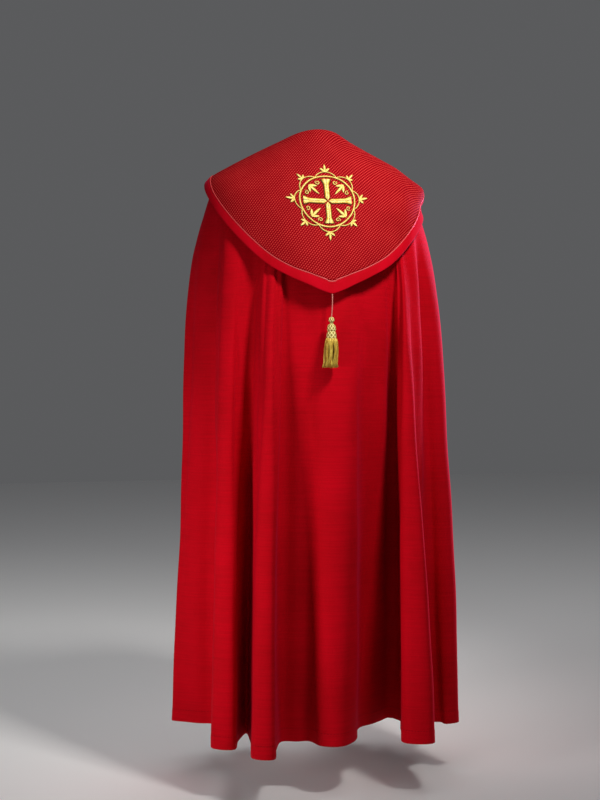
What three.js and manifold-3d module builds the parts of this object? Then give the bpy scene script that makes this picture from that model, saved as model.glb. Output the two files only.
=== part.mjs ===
// A cope: the long open cloak worn over church robes, shown as it hangs on a wearer.
// Millimetres, +Z up, the wearer faces -Y, and the origin is the middle of the neck opening.
// The mantle is one wall of cloth that falls from the neck over the shoulders to the hem in deep
// folds. Over it lie the shield-shaped hood with its plain border, the two front bands and the
// breast strap. A gold tassel hangs on a cord from the hood's tip.

import * as THREE from "three";
import { mergeVertices } from "three/addons/utils/BufferGeometryUtils.js";
import Module from "manifold-3d";

const wasm = await Module();
wasm.setup();

const HEM_Z = -1415;
const CLOTH = 2;
const SEAM_GAP = 0.3;
const EDGE_ANGLE = 170;
const MANTLE_COLUMNS = 106;

// The cloak without its folds, a row for each ring of cloth from the neck to the hem. Side, back and
// front give the ring's reach and height there, edge is the angle of the front edges from the middle
// of the back, fold is the share of the hem's folds that the ring has, and band is the width of the
// front bands there.
const MANTLE_RINGS = [
  { sideX: 72, sideZ: 6, backY: 66, backZ: 26, frontY: 80, frontZ: -22, edge: 125, fold: 0, band: 62 },
  { sideX: 113, sideZ: -16, backY: 90, backZ: -17, frontY: 100, frontZ: -60, edge: 146, fold: 0, band: 84 },
  { sideX: 157, sideZ: -41, backY: 114, backZ: -61, frontY: 118, frontZ: -102, edge: 156.5, fold: 0, band: 100 },
  { sideX: 199, sideZ: -66, backY: 135, backZ: -106, frontY: 132, frontZ: -146, edge: 163, fold: 0, band: 100 },
  { sideX: 231, sideZ: -92, backY: 152, backZ: -148, frontY: 142, frontZ: -188, edge: 167, fold: 0, band: 100 },
  { sideX: 252, sideZ: -128, backY: 165, backZ: -190, frontY: 149, frontZ: -228, edge: 169, fold: 0.01, band: 100 },
  { sideX: 268, sideZ: -176, backY: 175, backZ: -236, frontY: 155, frontZ: -272, edge: 170, fold: 0.03, band: 100 },
  { sideX: 283, sideZ: -230, backY: 182, backZ: -288, frontY: 160, frontZ: -320, edge: 170, fold: 0.07, band: 100 },
  { sideX: 295, sideZ: -296, backY: 187, backZ: -350, frontY: 164, frontZ: -376, edge: 170, fold: 0.125, band: 100 },
  { sideX: 303, sideZ: -410, backY: 191, backZ: -445, frontY: 170, frontZ: -456, edge: 170, fold: 0.215, band: 100 },
  { sideX: 309, sideZ: -560, backY: 196, backZ: -570, frontY: 175, frontZ: -574, edge: 170, fold: 0.33, band: 100 },
  { sideX: 312, sideZ: -720, backY: 201, backZ: -720, frontY: 180, frontZ: -720, edge: 170, fold: 0.45, band: 100 },
  { sideX: 317, sideZ: -900, backY: 205, backZ: -900, frontY: 186, frontZ: -900, edge: 170, fold: 0.595, band: 100 },
  { sideX: 322, sideZ: -1080, backY: 209, backZ: -1080, frontY: 191, frontZ: -1080, edge: 170, fold: 0.74, band: 100 },
  { sideX: 327, sideZ: -1250, backY: 212, backZ: -1250, frontY: 196, frontZ: -1250, edge: 170, fold: 0.875, band: 100 },
  { sideX: 330, sideZ: HEM_Z, backY: 215, backZ: HEM_Z, frontY: 200, frontZ: HEM_Z, edge: 170, fold: 1, band: 100 },
];
const FOLDS_SPREAD_BY_RING = 8;

// The folds at the hem, from the left front edge round the back to the right one. Angle is where the
// fold's line starts below the shoulders, and x and y are where it reaches the hem.
const HEM_FOLDS = [
  { fold: "left front edge", angle: 170, x: 70, y: -232 },
  { fold: "left band, middle", angle: 157, x: 125, y: -238 },
  { fold: "left band, outer edge", angle: 146, x: 180, y: -226 },
  { fold: "left front valley", angle: 134, x: 194, y: -150 },
  { fold: "left front crest", angle: 124, x: 254, y: -226 },
  { fold: "left arm valley", angle: 112, x: 262, y: -122 },
  { fold: "left side crest", angle: 99, x: 340, y: -93 },
  { fold: "left side panel", angle: 80, x: 294, y: -60 },
  { fold: "left back valley", angle: 62, x: 240, y: -20 },
  { fold: "second pipe, outer flank", angle: 57, x: 250, y: 70 },
  { fold: "second pipe, left of crest", angle: 53, x: 275, y: 179 },
  { fold: "second pipe, right of crest", angle: 48, x: 230, y: 202 },
  { fold: "second pipe, inner flank", angle: 42, x: 207, y: 130 },
  { fold: "deep valley left of third pipe", angle: 35, x: 178, y: 66 },
  { fold: "third pipe, outer flank", angle: 32, x: 184, y: 180 },
  { fold: "third pipe, left of crest", angle: 29.5, x: 196, y: 284 },
  { fold: "third pipe, right of crest", angle: 26.5, x: 156, y: 300 },
  { fold: "third pipe, inner flank", angle: 24, x: 134, y: 222 },
  { fold: "valley right of third pipe", angle: 20, x: 106, y: 153 },
  { fold: "middle ripple", angle: 15, x: 74, y: 161 },
  { fold: "middle valley", angle: 10, x: 45, y: 163 },
  { fold: "fourth pipe, left of crest", angle: 2, x: 22, y: 208 },
  { fold: "fourth pipe, right of crest", angle: -8, x: -24, y: 219 },
  { fold: "fourth pipe, flank", angle: -14, x: -67, y: 157 },
  { fold: "broad recess, left", angle: -20, x: -107, y: 82 },
  { fold: "broad recess, ripple", angle: -28, x: -141, y: 59 },
  { fold: "broad recess, right", angle: -34, x: -194, y: -2 },
  { fold: "fifth pipe, inner flank", angle: -37, x: -193, y: 120 },
  { fold: "fifth pipe, left of crest", angle: -40, x: -177, y: 226 },
  { fold: "fifth pipe, right of crest", angle: -44, x: -236, y: 243 },
  { fold: "fifth pipe, outer flank", angle: -49, x: -258, y: 168 },
  { fold: "right back valley", angle: -55, x: -280, y: 92 },
  { fold: "right side panel", angle: -64, x: -317, y: 98 },
  { fold: "right side crest", angle: -76, x: -360, y: 64 },
  { fold: "right arm valley", angle: -90, x: -284, y: -22 },
  { fold: "right arm crest", angle: -103, x: -335, y: -115 },
  { fold: "right front valley, outer", angle: -114, x: -260, y: -112 },
  { fold: "right front crest", angle: -125, x: -262, y: -222 },
  { fold: "right front valley, inner", angle: -134, x: -196, y: -150 },
  { fold: "right band, outer edge", angle: -146, x: -180, y: -226 },
  { fold: "right band, middle", angle: -157, x: -125, y: -238 },
  { fold: "right front edge", angle: -170, x: -70, y: -232 },
];

const SEAM_FOLDS = ["left back valley", "right arm valley"];

// The hood is stiffer than the mantle: it stands off the shoulders and the back. Reach is the
// distance from the neckline along the cloth.
const HOOD_WALL = 1.8;
const HOOD_HALF_ANGLE = 125;
const HOOD_RINGS = [
  { reach: 0, sideX: 74, sideZ: 10, backY: 70, backZ: 28.5, frontY: 84, frontZ: -20 },
  { reach: 40, sideX: 110, sideZ: -7, backY: 91, backZ: -5, frontY: 104, frontZ: -50 },
  { reach: 90, sideX: 154, sideZ: -29, backY: 114, backZ: -45, frontY: 124, frontZ: -86 },
  { reach: 150, sideX: 207, sideZ: -57, backY: 141, backZ: -98, frontY: 142, frontZ: -138 },
  { reach: 200, sideX: 250, sideZ: -83, backY: 161, backZ: -144, frontY: 154, frontZ: -182 },
  { reach: 240, sideX: 272, sideZ: -114, backY: 176, backZ: -181, frontY: 161, frontZ: -218 },
  { reach: 290, sideX: 281, sideZ: -160, backY: 190, backZ: -229, frontY: 168, frontZ: -262 },
  { reach: 340, sideX: 286, sideZ: -209, backY: 201, backZ: -278, frontY: 174, frontZ: -308 },
  { reach: 390, sideX: 289, sideZ: -259, backY: 209, backZ: -327, frontY: 180, frontZ: -352 },
  { reach: 430, sideX: 291, sideZ: -298, backY: 214, backZ: -366, frontY: 184, frontZ: -388 },
];
// The hood's outer edge: how far it reaches on the left and on the right of the back's middle. It is
// pulled a little further round the right shoulder.
const HOOD_EDGE = [
  { angle: 0, left: 426, right: 426 },
  { angle: 10, left: 407, right: 407 },
  { angle: 20, left: 393, right: 393 },
  { angle: 30, left: 375, right: 377 },
  { angle: 40, left: 350, right: 354 },
  { angle: 50, left: 322, right: 329 },
  { angle: 60, left: 293, right: 304 },
  { angle: 70, left: 265, right: 281 },
  { angle: 80, left: 241, right: 260 },
  { angle: 90, left: 223, right: 242 },
  { angle: 100, left: 210, right: 226 },
  { angle: 112, left: 199, right: 211 },
  { angle: HOOD_HALF_ANGLE, left: 191, right: 199 },
];
const BORDER_WIDTH = 23;
const PIPING_WIDTH = 2.4;
const PIPING_RISE = 0.9;
// The right shoulder is a little lower. Over it the hood stands out in a round corner, and its border
// buckles inwards below that.
const LOW_SHOULDER = { drop: 13, from: 190, to: 280, levelFrom: 300, levelTo: 900 };
const HOOD_BULGES = [
  { bulge: "right corner", height: 12, angle: -80, reach: 210, angleSpread: 15, reachSpread: 22 },
  { bulge: "buckled border", height: -13, angle: -76, reach: 268, angleSpread: 11, reachSpread: 20 },
];

const BAND_WALL = 1.5;
const BAND_STRIPS = 4;

const STRAP = { topRing: 5.3, bottomRing: 6.45, halfAngle: 17, wall: 2.4, lift: 3.4, rows: 3, columns: 14 };

const CORD_DIAMETER = 2.6;
const CORD_SIDES = 8;
const CORD_STEPS = 9;
const TASSEL = {
  swing: 3,
  cordDrop: 52,
  knobRadius: 7,
  headLength: 37,
  headRadius: 12,
  skirtLength: 64,
  strand: 1.9,
};

const EMBLEM = { reach: 205, lift: 0.4, height: 1.5 };

const CLOTH_LOOK = { color: 0xb3061a, roughness: 0.85, metalness: 0 };
const BORDER_LOOK = { color: 0xc4061f, roughness: 0.8, metalness: 0 };
const BROCADE_LOOK = { color: 0x8e0a16, roughness: 0.7, metalness: 0 };
const PIPING_LOOK = { color: 0xe0303c, roughness: 0.6, metalness: 0 };
const GOLD_LOOK = { color: 0xd9b45a, roughness: 0.4, metalness: 0.6 };
const CORD_LOOK = { color: 0xd98a70, roughness: 0.6, metalness: 0.1 };

const radians = THREE.MathUtils.degToRad;
const lerp = THREE.MathUtils.lerp;
const smoothstep = THREE.MathUtils.smoothstep;

// A smooth reading of one named column of a table, at a place given in rows.
function readColumn(table, column, place) {
  const last = table.length - 1;
  const row = Math.min(Math.floor(place), last - 1);
  const t = place - row;
  const value = (k) => table[Math.min(Math.max(k, 0), last)][column];
  const [a, b, c, d] = [value(row - 1), value(row), value(row + 1), value(row + 2)];
  const slopeB = (c - a) / 2;
  const slopeC = (d - b) / 2;
  return (
    b * (1 + 2 * t) * (1 - t) ** 2 +
    slopeB * t * (1 - t) ** 2 +
    c * t ** 2 * (3 - 2 * t) +
    slopeC * t ** 2 * (t - 1)
  );
}

// The place in a table, in rows, where its key column has a value.
function placeOf(table, key, value) {
  let row = 0;
  while (row < table.length - 2 && table[row + 1][key] < value) row += 1;
  const [low, high] = [table[row][key], table[row + 1][key]];
  return row + Math.min(Math.max((value - low) / (high - low), 0), 1);
}

// A point of a ring, at an angle from the middle of the back towards the wearer's left.
function ringPoint(table, place, angle) {
  const s = Math.sin(radians(angle));
  const c = Math.cos(radians(angle));
  const end = c >= 0 ? "back" : "front";
  const sideZ = readColumn(table, "sideZ", place);
  const endZ = readColumn(table, end + "Z", place);
  return new THREE.Vector3(
    readColumn(table, "sideX", place) * s,
    readColumn(table, end + "Y", place) * c,
    sideZ + (endZ - sideZ) * c * c,
  );
}

function lowerRightShoulder(point) {
  const outward = smoothstep(-point.x, LOW_SHOULDER.from, LOW_SHOULDER.to);
  const upper = 1 - smoothstep(-point.z, LOW_SHOULDER.levelFrom, LOW_SHOULDER.levelTo);
  point.z -= LOW_SHOULDER.drop * outward * upper;
  return point;
}

const foldCurve = (points) => new THREE.CatmullRomCurve3(points, false, "centripetal");

// How far round the hem each fold's point lies, as a share of its length.
const CURVE_STEPS = 40;
const hemCurve = foldCurve(HEM_FOLDS.map(({ x, y }) => new THREE.Vector3(x, y, HEM_Z)));
const hemLengths = hemCurve.getLengths(CURVE_STEPS * (HEM_FOLDS.length - 1));
const hemShares = HEM_FOLDS.map((_, k) => hemLengths[CURVE_STEPS * k] / hemLengths.at(-1));

// One ring of the mantle: each fold's line goes from its place near the neck to its place at the hem.
function mantleRing(place) {
  const edge = readColumn(MANTLE_RINGS, "edge", place);
  const share = readColumn(MANTLE_RINGS, "fold", place);
  const lastRing = MANTLE_RINGS.length - 1;
  const spread = smoothstep(place, 0, FOLDS_SPREAD_BY_RING);
  const points = HEM_FOLDS.map(({ angle, x, y }, k) => {
    const evenAngle = lerp(edge, -edge, hemShares[k]);
    const ownAngle = (angle * edge) / EDGE_ANGLE;
    const point = ringPoint(MANTLE_RINGS, place, lerp(evenAngle, ownAngle, spread));
    const plain = ringPoint(MANTLE_RINGS, lastRing, angle);
    point.x += share * (x - plain.x);
    point.y += share * (y - plain.y);
    return lowerRightShoulder(point);
  });
  return foldCurve(points);
}

// Outward normals of a grid whose rows run down the cloth and whose columns run from left to right
// round the back.
function gridNormals(grid) {
  return grid.map((row, j) =>
    row.map((_, k) => {
      const down = new THREE.Vector3().subVectors(
        grid[Math.min(j + 1, grid.length - 1)][k],
        grid[Math.max(j - 1, 0)][k],
      );
      const along = new THREE.Vector3().subVectors(
        row[Math.min(k + 1, row.length - 1)],
        row[Math.max(k - 1, 0)],
      );
      return down.cross(along).normalize();
    }),
  );
}

function movedOut(grid, distance) {
  const normals = gridNormals(grid);
  return grid.map((row, j) => row.map((p, k) => p.clone().addScaledVector(normals[j][k], distance)));
}

// A closed wall between an outer grid and an inner one.
function wallGeometry(outer, inner) {
  const rows = outer.length;
  const columns = outer[0].length;
  const positions = [...outer.flat(), ...inner.flat()].flatMap((p) => [p.x, p.y, p.z]);
  const indices = [];
  const at = (side, j, k) => side * rows * columns + j * columns + k;
  const quad = (a, b, c, d) => indices.push(a, b, c, a, c, d);
  for (let j = 0; j < rows - 1; j += 1) {
    for (let k = 0; k < columns - 1; k += 1) {
      quad(at(0, j, k), at(0, j + 1, k), at(0, j + 1, k + 1), at(0, j, k + 1));
      quad(at(1, j, k), at(1, j, k + 1), at(1, j + 1, k + 1), at(1, j + 1, k));
    }
    quad(at(0, j, 0), at(1, j, 0), at(1, j + 1, 0), at(0, j + 1, 0));
    const right = columns - 1;
    quad(at(0, j, right), at(0, j + 1, right), at(1, j + 1, right), at(1, j, right));
  }
  for (let k = 0; k < columns - 1; k += 1) {
    quad(at(0, 0, k), at(0, 0, k + 1), at(1, 0, k + 1), at(1, 0, k));
    const hem = rows - 1;
    quad(at(0, hem, k), at(1, hem, k), at(1, hem, k + 1), at(0, hem, k + 1));
  }
  return new THREE.BufferGeometry()
    .setAttribute("position", new THREE.Float32BufferAttribute(positions, 3))
    .setIndex(indices);
}

function solidOf(geometry) {
  const plain = geometry.clone();
  plain.deleteAttribute("normal");
  plain.deleteAttribute("uv");
  const merged = mergeVertices(plain, 1e-4);
  return new wasm.Manifold(
    new wasm.Mesh({
      numProp: 3,
      vertProperties: merged.attributes.position.array,
      triVerts: new Uint32Array(merged.index.array),
    }),
  );
}

function geometryOf(solid) {
  const mesh = solid.getMesh();
  return new THREE.BufferGeometry()
    .setAttribute("position", new THREE.Float32BufferAttribute(mesh.vertProperties, 3))
    .setIndex(new THREE.BufferAttribute(mesh.triVerts, 1));
}

const joined = (geometries) =>
  geometryOf(geometries.map(solidOf).reduce((all, solid) => all.add(solid)));

function part(name, geometry, look) {
  const mesh = new THREE.Mesh(geometry, new THREE.MeshStandardMaterial(look));
  mesh.name = name;
  return mesh;
}

// The place along a ring's curve, from 0 to 1, at a distance from its left end.
function placeAlong(lengths, distance) {
  let sample = 0;
  while (sample < lengths.length - 2 && lengths[sample + 1] < distance) sample += 1;
  const [low, high] = [lengths[sample], lengths[sample + 1]];
  return (sample + (distance - low) / (high - low)) / (lengths.length - 1);
}

// The mantle's columns on one ring: even steps over each front band, and between the bands the same
// shares of the curve on every ring, which are even steps at the hem.
const mantleCurves = MANTLE_RINGS.map((_, row) => mantleRing(row));
const curveLengths = mantleCurves.map((curve) => curve.getLengths(CURVE_STEPS * (HEM_FOLDS.length - 1)));
const bandPlaces = curveLengths.map((lengths, row) => {
  const width = MANTLE_RINGS[row].band;
  return { left: placeAlong(lengths, width), right: placeAlong(lengths, lengths.at(-1) - width) };
});
const HEM_ROW = MANTLE_RINGS.length - 1;
const MIDDLE_COLUMNS = MANTLE_COLUMNS - 2 * BAND_STRIPS;

function columnPlace(row, column) {
  const lengths = curveLengths[row];
  const strip = MANTLE_RINGS[row].band / BAND_STRIPS;
  const fromRight = MANTLE_COLUMNS - column;
  if (column <= BAND_STRIPS) return placeAlong(lengths, column * strip);
  if (fromRight <= BAND_STRIPS) return placeAlong(lengths, lengths.at(-1) - fromRight * strip);
  const share = (column - BAND_STRIPS) / MIDDLE_COLUMNS;
  const hem = curveLengths[HEM_ROW];
  const hemWidth = MANTLE_RINGS[HEM_ROW].band;
  const hemPlace = placeAlong(hem, lerp(hemWidth, hem.at(-1) - hemWidth, share));
  const { left, right } = bandPlaces[HEM_ROW];
  const ends = bandPlaces[row];
  return lerp(ends.left, ends.right, (hemPlace - left) / (right - left));
}

const mantleGrid = mantleCurves.map((curve, row) =>
  Array.from({ length: MANTLE_COLUMNS + 1 }, (_, column) => curve.getPoint(columnPlace(row, column))),
);

// The half circle is wider than woven cloth, so a back and two fronts are sewn together, with the
// seams down two valleys. Each seam keeps its gap.
const seamColumns = SEAM_FOLDS.map((name) => {
  const hem = curveLengths[HEM_ROW];
  const width = MANTLE_RINGS[HEM_ROW].band;
  const distance = hem.at(-1) * hemShares[HEM_FOLDS.findIndex(({ fold }) => fold === name)];
  return BAND_STRIPS + Math.round((MIDDLE_COLUMNS * (distance - width)) / (hem.at(-1) - 2 * width));
});

function seamEdge(row, end, neighbour) {
  const away = row[neighbour].clone().sub(row[end]).setLength(SEAM_GAP / 2);
  row[end] = row[end].clone().add(away);
}

function makeMantle() {
  const inner = movedOut(mantleGrid, -CLOTH);
  const [leftSeam, rightSeam] = seamColumns;
  const panel = (name, first, last) => {
    const cut = (grid) =>
      grid.map((row) => {
        const columns = row.slice(first, last + 1);
        if (first > 0) seamEdge(columns, 0, 1);
        if (last < MANTLE_COLUMNS) seamEdge(columns, columns.length - 1, columns.length - 2);
        return columns;
      });
    return part(name, wallGeometry(cut(mantleGrid), cut(inner)), CLOTH_LOOK);
  };
  return [
    panel("mantle_left", 0, leftSeam),
    panel("mantle_back", leftSeam, rightSeam),
    panel("mantle_right", rightSeam, MANTLE_COLUMNS),
  ];
}

// A front band lies on the mantle along a front edge: it is made from the mantle's points, moved out.
function makeBand(name, firstColumn) {
  const lifted = movedOut(mantleGrid, SEAM_GAP + BAND_WALL);
  const under = movedOut(mantleGrid, SEAM_GAP);
  const strip = (grid) => grid.map((row) => row.slice(firstColumn, firstColumn + BAND_STRIPS + 1));
  return part(name, wallGeometry(strip(lifted), strip(under)), BROCADE_LOOK);
}

// The hood's surface, by angle from the middle of the back and reach from the neckline.
function hoodPoint(angle, reach) {
  const point = ringPoint(HOOD_RINGS, placeOf(HOOD_RINGS, "reach", reach), angle);
  const heights = HOOD_BULGES.map((bulge) => {
    const fromAngle = (angle - bulge.angle) / bulge.angleSpread;
    const fromReach = (reach - bulge.reach) / bulge.reachSpread;
    return bulge.height * Math.exp(-(fromAngle ** 2) - fromReach ** 2);
  });
  const out = heights.reduce((sum, height) => sum + height);
  const flat = Math.hypot(point.x, point.y);
  point.x += (out * point.x) / flat;
  point.y += (out * point.y) / flat;
  return lowerRightShoulder(point);
}

const hoodEdgeReach = (angle) => {
  const side = angle > 0 ? "left" : "right";
  const place = placeOf(HOOD_EDGE, "angle", Math.abs(angle));
  return place < 1
    ? lerp(HOOD_EDGE[0][side], HOOD_EDGE[1][side], place)
    : readColumn(HOOD_EDGE, side, place);
};

// The reach of a line that keeps a distance inwards from the hood's edge.
function hoodInsetReach(angle, inset) {
  const step = 1;
  const slope = (hoodEdgeReach(angle + step) - hoodEdgeReach(angle - step)) / (2 * step);
  const reach = hoodEdgeReach(angle);
  const nearby = hoodPoint(angle + step, reach).distanceTo(hoodPoint(angle - step, reach)) / (2 * step);
  const lean = Math.abs(angle) < 2 * step ? 0 : slope / nearby;
  return reach - inset * Math.hypot(1, lean);
}

// The outward direction of the hood's surface.
function hoodNormal(angle, reach) {
  const step = 1;
  const down = hoodPoint(angle, reach + step).sub(hoodPoint(angle, Math.max(reach - step, 0)));
  const along = hoodPoint(angle - step, reach).sub(hoodPoint(angle + step, reach));
  return down.cross(along).normalize();
}

const HOOD_COLUMNS = 48;
const HOOD_ROWS = 8;

// A strip of the hood between two lines that keep their distance from its edge, or from the
// neckline down, lifted off the hood's surface.
function hoodStrip(rows, fromInset, toInset, lift) {
  return Array.from({ length: rows + 1 }, (_, j) =>
    Array.from({ length: HOOD_COLUMNS + 1 }, (_, k) => {
      const angle = HOOD_HALF_ANGLE * (1 - (2 * k) / HOOD_COLUMNS);
      const from = fromInset === null ? 0 : hoodInsetReach(angle, fromInset);
      const reach = lerp(from, hoodInsetReach(angle, toInset), j / rows);
      return hoodPoint(angle, reach).addScaledVector(hoodNormal(angle, reach), lift);
    }),
  );
}

function hoodWall(rows, fromInset, toInset, rise) {
  return wallGeometry(
    hoodStrip(rows, fromInset, toInset, rise),
    hoodStrip(rows, fromInset, toInset, -HOOD_WALL),
  );
}

function makeHood() {
  const panelInset = BORDER_WIDTH + PIPING_WIDTH + 2.5 * SEAM_GAP;
  const pipingInset = BORDER_WIDTH + PIPING_WIDTH + SEAM_GAP;
  return [
    part("hood_panel", hoodWall(HOOD_ROWS, null, panelInset, 0), BROCADE_LOOK),
    part("hood_piping", hoodWall(1, pipingInset, BORDER_WIDTH + 1.3 * SEAM_GAP, PIPING_RISE), PIPING_LOOK),
    part("hood_border", hoodWall(2, BORDER_WIDTH, 0, 0), BORDER_LOOK),
  ];
}

// A place on the hood by its own flat measures: to the right and up from the emblem's middle, as
// seen from behind, lifted off the cloth.
function emblemPoint(right, up, lift) {
  const reach = EMBLEM.reach - up;
  const sideX = readColumn(HOOD_RINGS, "sideX", placeOf(HOOD_RINGS, "reach", reach));
  const angle = -THREE.MathUtils.radToDeg(Math.asin(right / sideX));
  return hoodPoint(angle, reach).addScaledVector(hoodNormal(angle, reach), lift);
}

// A raised line of satin stitch: a low ridge of four sides along a path, wider or narrower on its way.
function ridge(path, width, steps, closed = false) {
  const ring = (t) => {
    const [x, y] = path(t);
    const [fromX, fromY] = path(closed ? t - 0.01 : Math.max(t - 0.01, 0));
    const [toX, toY] = path(closed ? t + 0.01 : Math.min(t + 0.01, 1));
    const length = Math.hypot(toX - fromX, toY - fromY);
    const [sideX, sideY] = [-(toY - fromY) / length, (toX - fromX) / length];
    const half = width(t) / 2;
    const top = 0.45 * half;
    const corner = (offset, lift) => emblemPoint(x + offset * sideX, y + offset * sideY, lift);
    const crown = EMBLEM.lift + EMBLEM.height;
    return [corner(-half, EMBLEM.lift), corner(half, EMBLEM.lift), corner(top, crown), corner(-top, crown)];
  };
  const count = closed ? steps : steps + 1;
  const rings = Array.from({ length: count }, (_, k) => ring(k / steps));
  const positions = rings.flat().flatMap((p) => [p.x, p.y, p.z]);
  const indices = [];
  for (let j = 0; j < steps; j += 1) {
    for (let k = 0; k < 4; k += 1) {
      const [a, b] = [4 * j + k, 4 * j + ((k + 1) % 4)];
      const [c, d] = [(a + 4) % (4 * count), (b + 4) % (4 * count)];
      indices.push(a, b, d, a, d, c);
    }
  }
  const last = 4 * (count - 1);
  if (!closed) {
    indices.push(0, 2, 1, 0, 3, 2);
    indices.push(last, last + 1, last + 2, last, last + 2, last + 3);
  }
  return new THREE.BufferGeometry()
    .setAttribute("position", new THREE.Float32BufferAttribute(positions, 3))
    .setIndex(indices);
}

const polar = (radius, angle) => [radius * Math.cos(radians(angle)), radius * Math.sin(radians(angle))];

// A straight leaf from one point towards a direction, widest in its middle.
function leaf([x, y], angle, length, widest) {
  const [stepX, stepY] = polar(length, angle);
  const width = (t) => 0.8 + widest * Math.sin(Math.PI * Math.min(0.12 + 0.88 * t, 1)) ** 0.8;
  return ridge((t) => [x + t * stepX, y + t * stepY], width, 2);
}

// Three leaves that spring from one point.
function trefoil(radius, angle, sizes) {
  const foot = polar(radius, angle);
  return [
    leaf(foot, angle, sizes.middle, sizes.width),
    leaf(foot, angle + sizes.splay, sizes.side, sizes.width * 0.85),
    leaf(foot, angle - sizes.splay, sizes.side, sizes.width * 0.85),
  ];
}

const QUARTERS = [0, 90, 180, 270];
const CROSS = { arm: 57, waist: 14, end: 26 };
const WREATH = { radius: 65, width: 5, foils: 8, foilRadius: 77, foilWidth: 3.4 };

// The gold cross: four arms that widen towards their ends.
function makeCross() {
  const arms = QUARTERS.map((angle) =>
    ridge(
      (t) => polar(CROSS.arm * t, angle),
      (t) => CROSS.waist + (CROSS.end - CROSS.waist) * smoothstep(t, 0.62, 1) ** 1.5,
      7,
    ),
  );
  return part("emblem_cross", joined(arms), GOLD_LOOK);
}

// The wreath round it: a ring, eight outward bows, and leaves at the points.
function makeWreath() {
  const ring = ridge((t) => polar(WREATH.radius, 360 * t), () => WREATH.width, 28, true);
  const bows = Array.from({ length: WREATH.foils }, (_, k) =>
    ridge(
      (t) =>
        polar(
          lerp(WREATH.radius, WREATH.foilRadius, Math.sin(Math.PI * t) ** 0.7),
          (360 / WREATH.foils) * (k + t - 0.5),
        ),
      () => WREATH.foilWidth,
      4,
    ),
  );
  const points = QUARTERS.flatMap((angle) =>
    trefoil(WREATH.foilRadius, angle, { middle: 21, side: 15, width: 6.5, splay: 50 }),
  );
  const outer = QUARTERS.map((angle) => leaf(polar(WREATH.foilRadius, angle + 45), angle + 45, 18, 6.5));
  return part("emblem_wreath", joined([ring, ...bows, ...points, ...outer]), GOLD_LOOK);
}

// The breast strap that holds the two fronts together, lying on the bands.
function makeStrap() {
  const surface = Array.from({ length: STRAP.rows + 1 }, (_, j) =>
    Array.from({ length: STRAP.columns + 1 }, (_, k) => {
      const place = lerp(STRAP.topRing, STRAP.bottomRing, j / STRAP.rows);
      const angle = 180 + STRAP.halfAngle * (1 - (2 * k) / STRAP.columns);
      return ringPoint(MANTLE_RINGS, place, angle);
    }),
  );
  const outer = movedOut(surface, STRAP.lift + STRAP.wall);
  return part("breast_strap", wallGeometry(outer, movedOut(surface, STRAP.lift)), BORDER_LOOK);
}

// The tassel's cord leaves the hood's tip and hangs straight down, and the tassel hangs under it.
const hoodTip = hoodPoint(0, hoodEdgeReach(0));
const cordTop = new THREE.Vector3(hoodTip.x, hoodTip.y - HOOD_WALL / 2, hoodTip.z - SEAM_GAP);
const cordFoot = new THREE.Vector3(cordTop.x + TASSEL.swing, cordTop.y + 5, cordTop.z - TASSEL.cordDrop);

function makeTasselCord() {
  const middle = cordTop.clone().lerp(cordFoot, 0.5).add(new THREE.Vector3(-1, 1, 0));
  const path = new THREE.CatmullRomCurve3([cordTop, middle, cordFoot]);
  const section = new THREE.Shape().absarc(0, 0, CORD_DIAMETER / 2, 0, 2 * Math.PI);
  const geometry = new THREE.ExtrudeGeometry(section, {
    extrudePath: path,
    steps: CORD_STEPS,
    curveSegments: CORD_SIDES / 2,
  });
  return part("tassel_cord", geometry, CORD_LOOK);
}

function turned(profile, sides) {
  const points = profile.map(([radius, z]) => new THREE.Vector2(radius, z));
  return new THREE.LatheGeometry(points, sides).rotateX(Math.PI / 2);
}

// One strand of the skirt: three sides, from its root in the head to its free end.
function strand(root, foot, size) {
  const levels = 3;
  const sides = 3;
  const turn = Math.atan2(root.y, root.x);
  const positions = [];
  const indices = [];
  for (let j = 0; j <= levels; j += 1) {
    const t = j / levels;
    const bulge = 1.2 * Math.sin(Math.PI * t);
    const centre = root.clone().lerp(foot, t).add(new THREE.Vector3(Math.cos(turn) * bulge, Math.sin(turn) * bulge, 0));
    for (let k = 0; k < sides; k += 1) {
      const angle = turn + (2 * Math.PI * k) / sides;
      positions.push(centre.x + (size / 2) * Math.cos(angle), centre.y + (size / 2) * Math.sin(angle), centre.z);
    }
  }
  for (let j = 0; j < levels; j += 1) {
    for (let k = 0; k < sides; k += 1) {
      const [a, b] = [sides * j + k, sides * j + ((k + 1) % sides)];
      indices.push(a, a + sides, b + sides, a, b + sides, b);
    }
  }
  const end = sides * levels;
  indices.push(0, 1, 2, end, end + 2, end + 1);
  return new THREE.BufferGeometry()
    .setAttribute("position", new THREE.Float32BufferAttribute(positions, 3))
    .setIndex(indices);
}

// Rings of strands, from the outside in: how many, and how far out their roots and feet are.
const STRAND_RINGS = [
  { count: 26, root: 10.4, foot: 16.2 },
  { count: 17, root: 7.2, foot: 11 },
  { count: 9, root: 3.8, foot: 5.8 },
];

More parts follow.
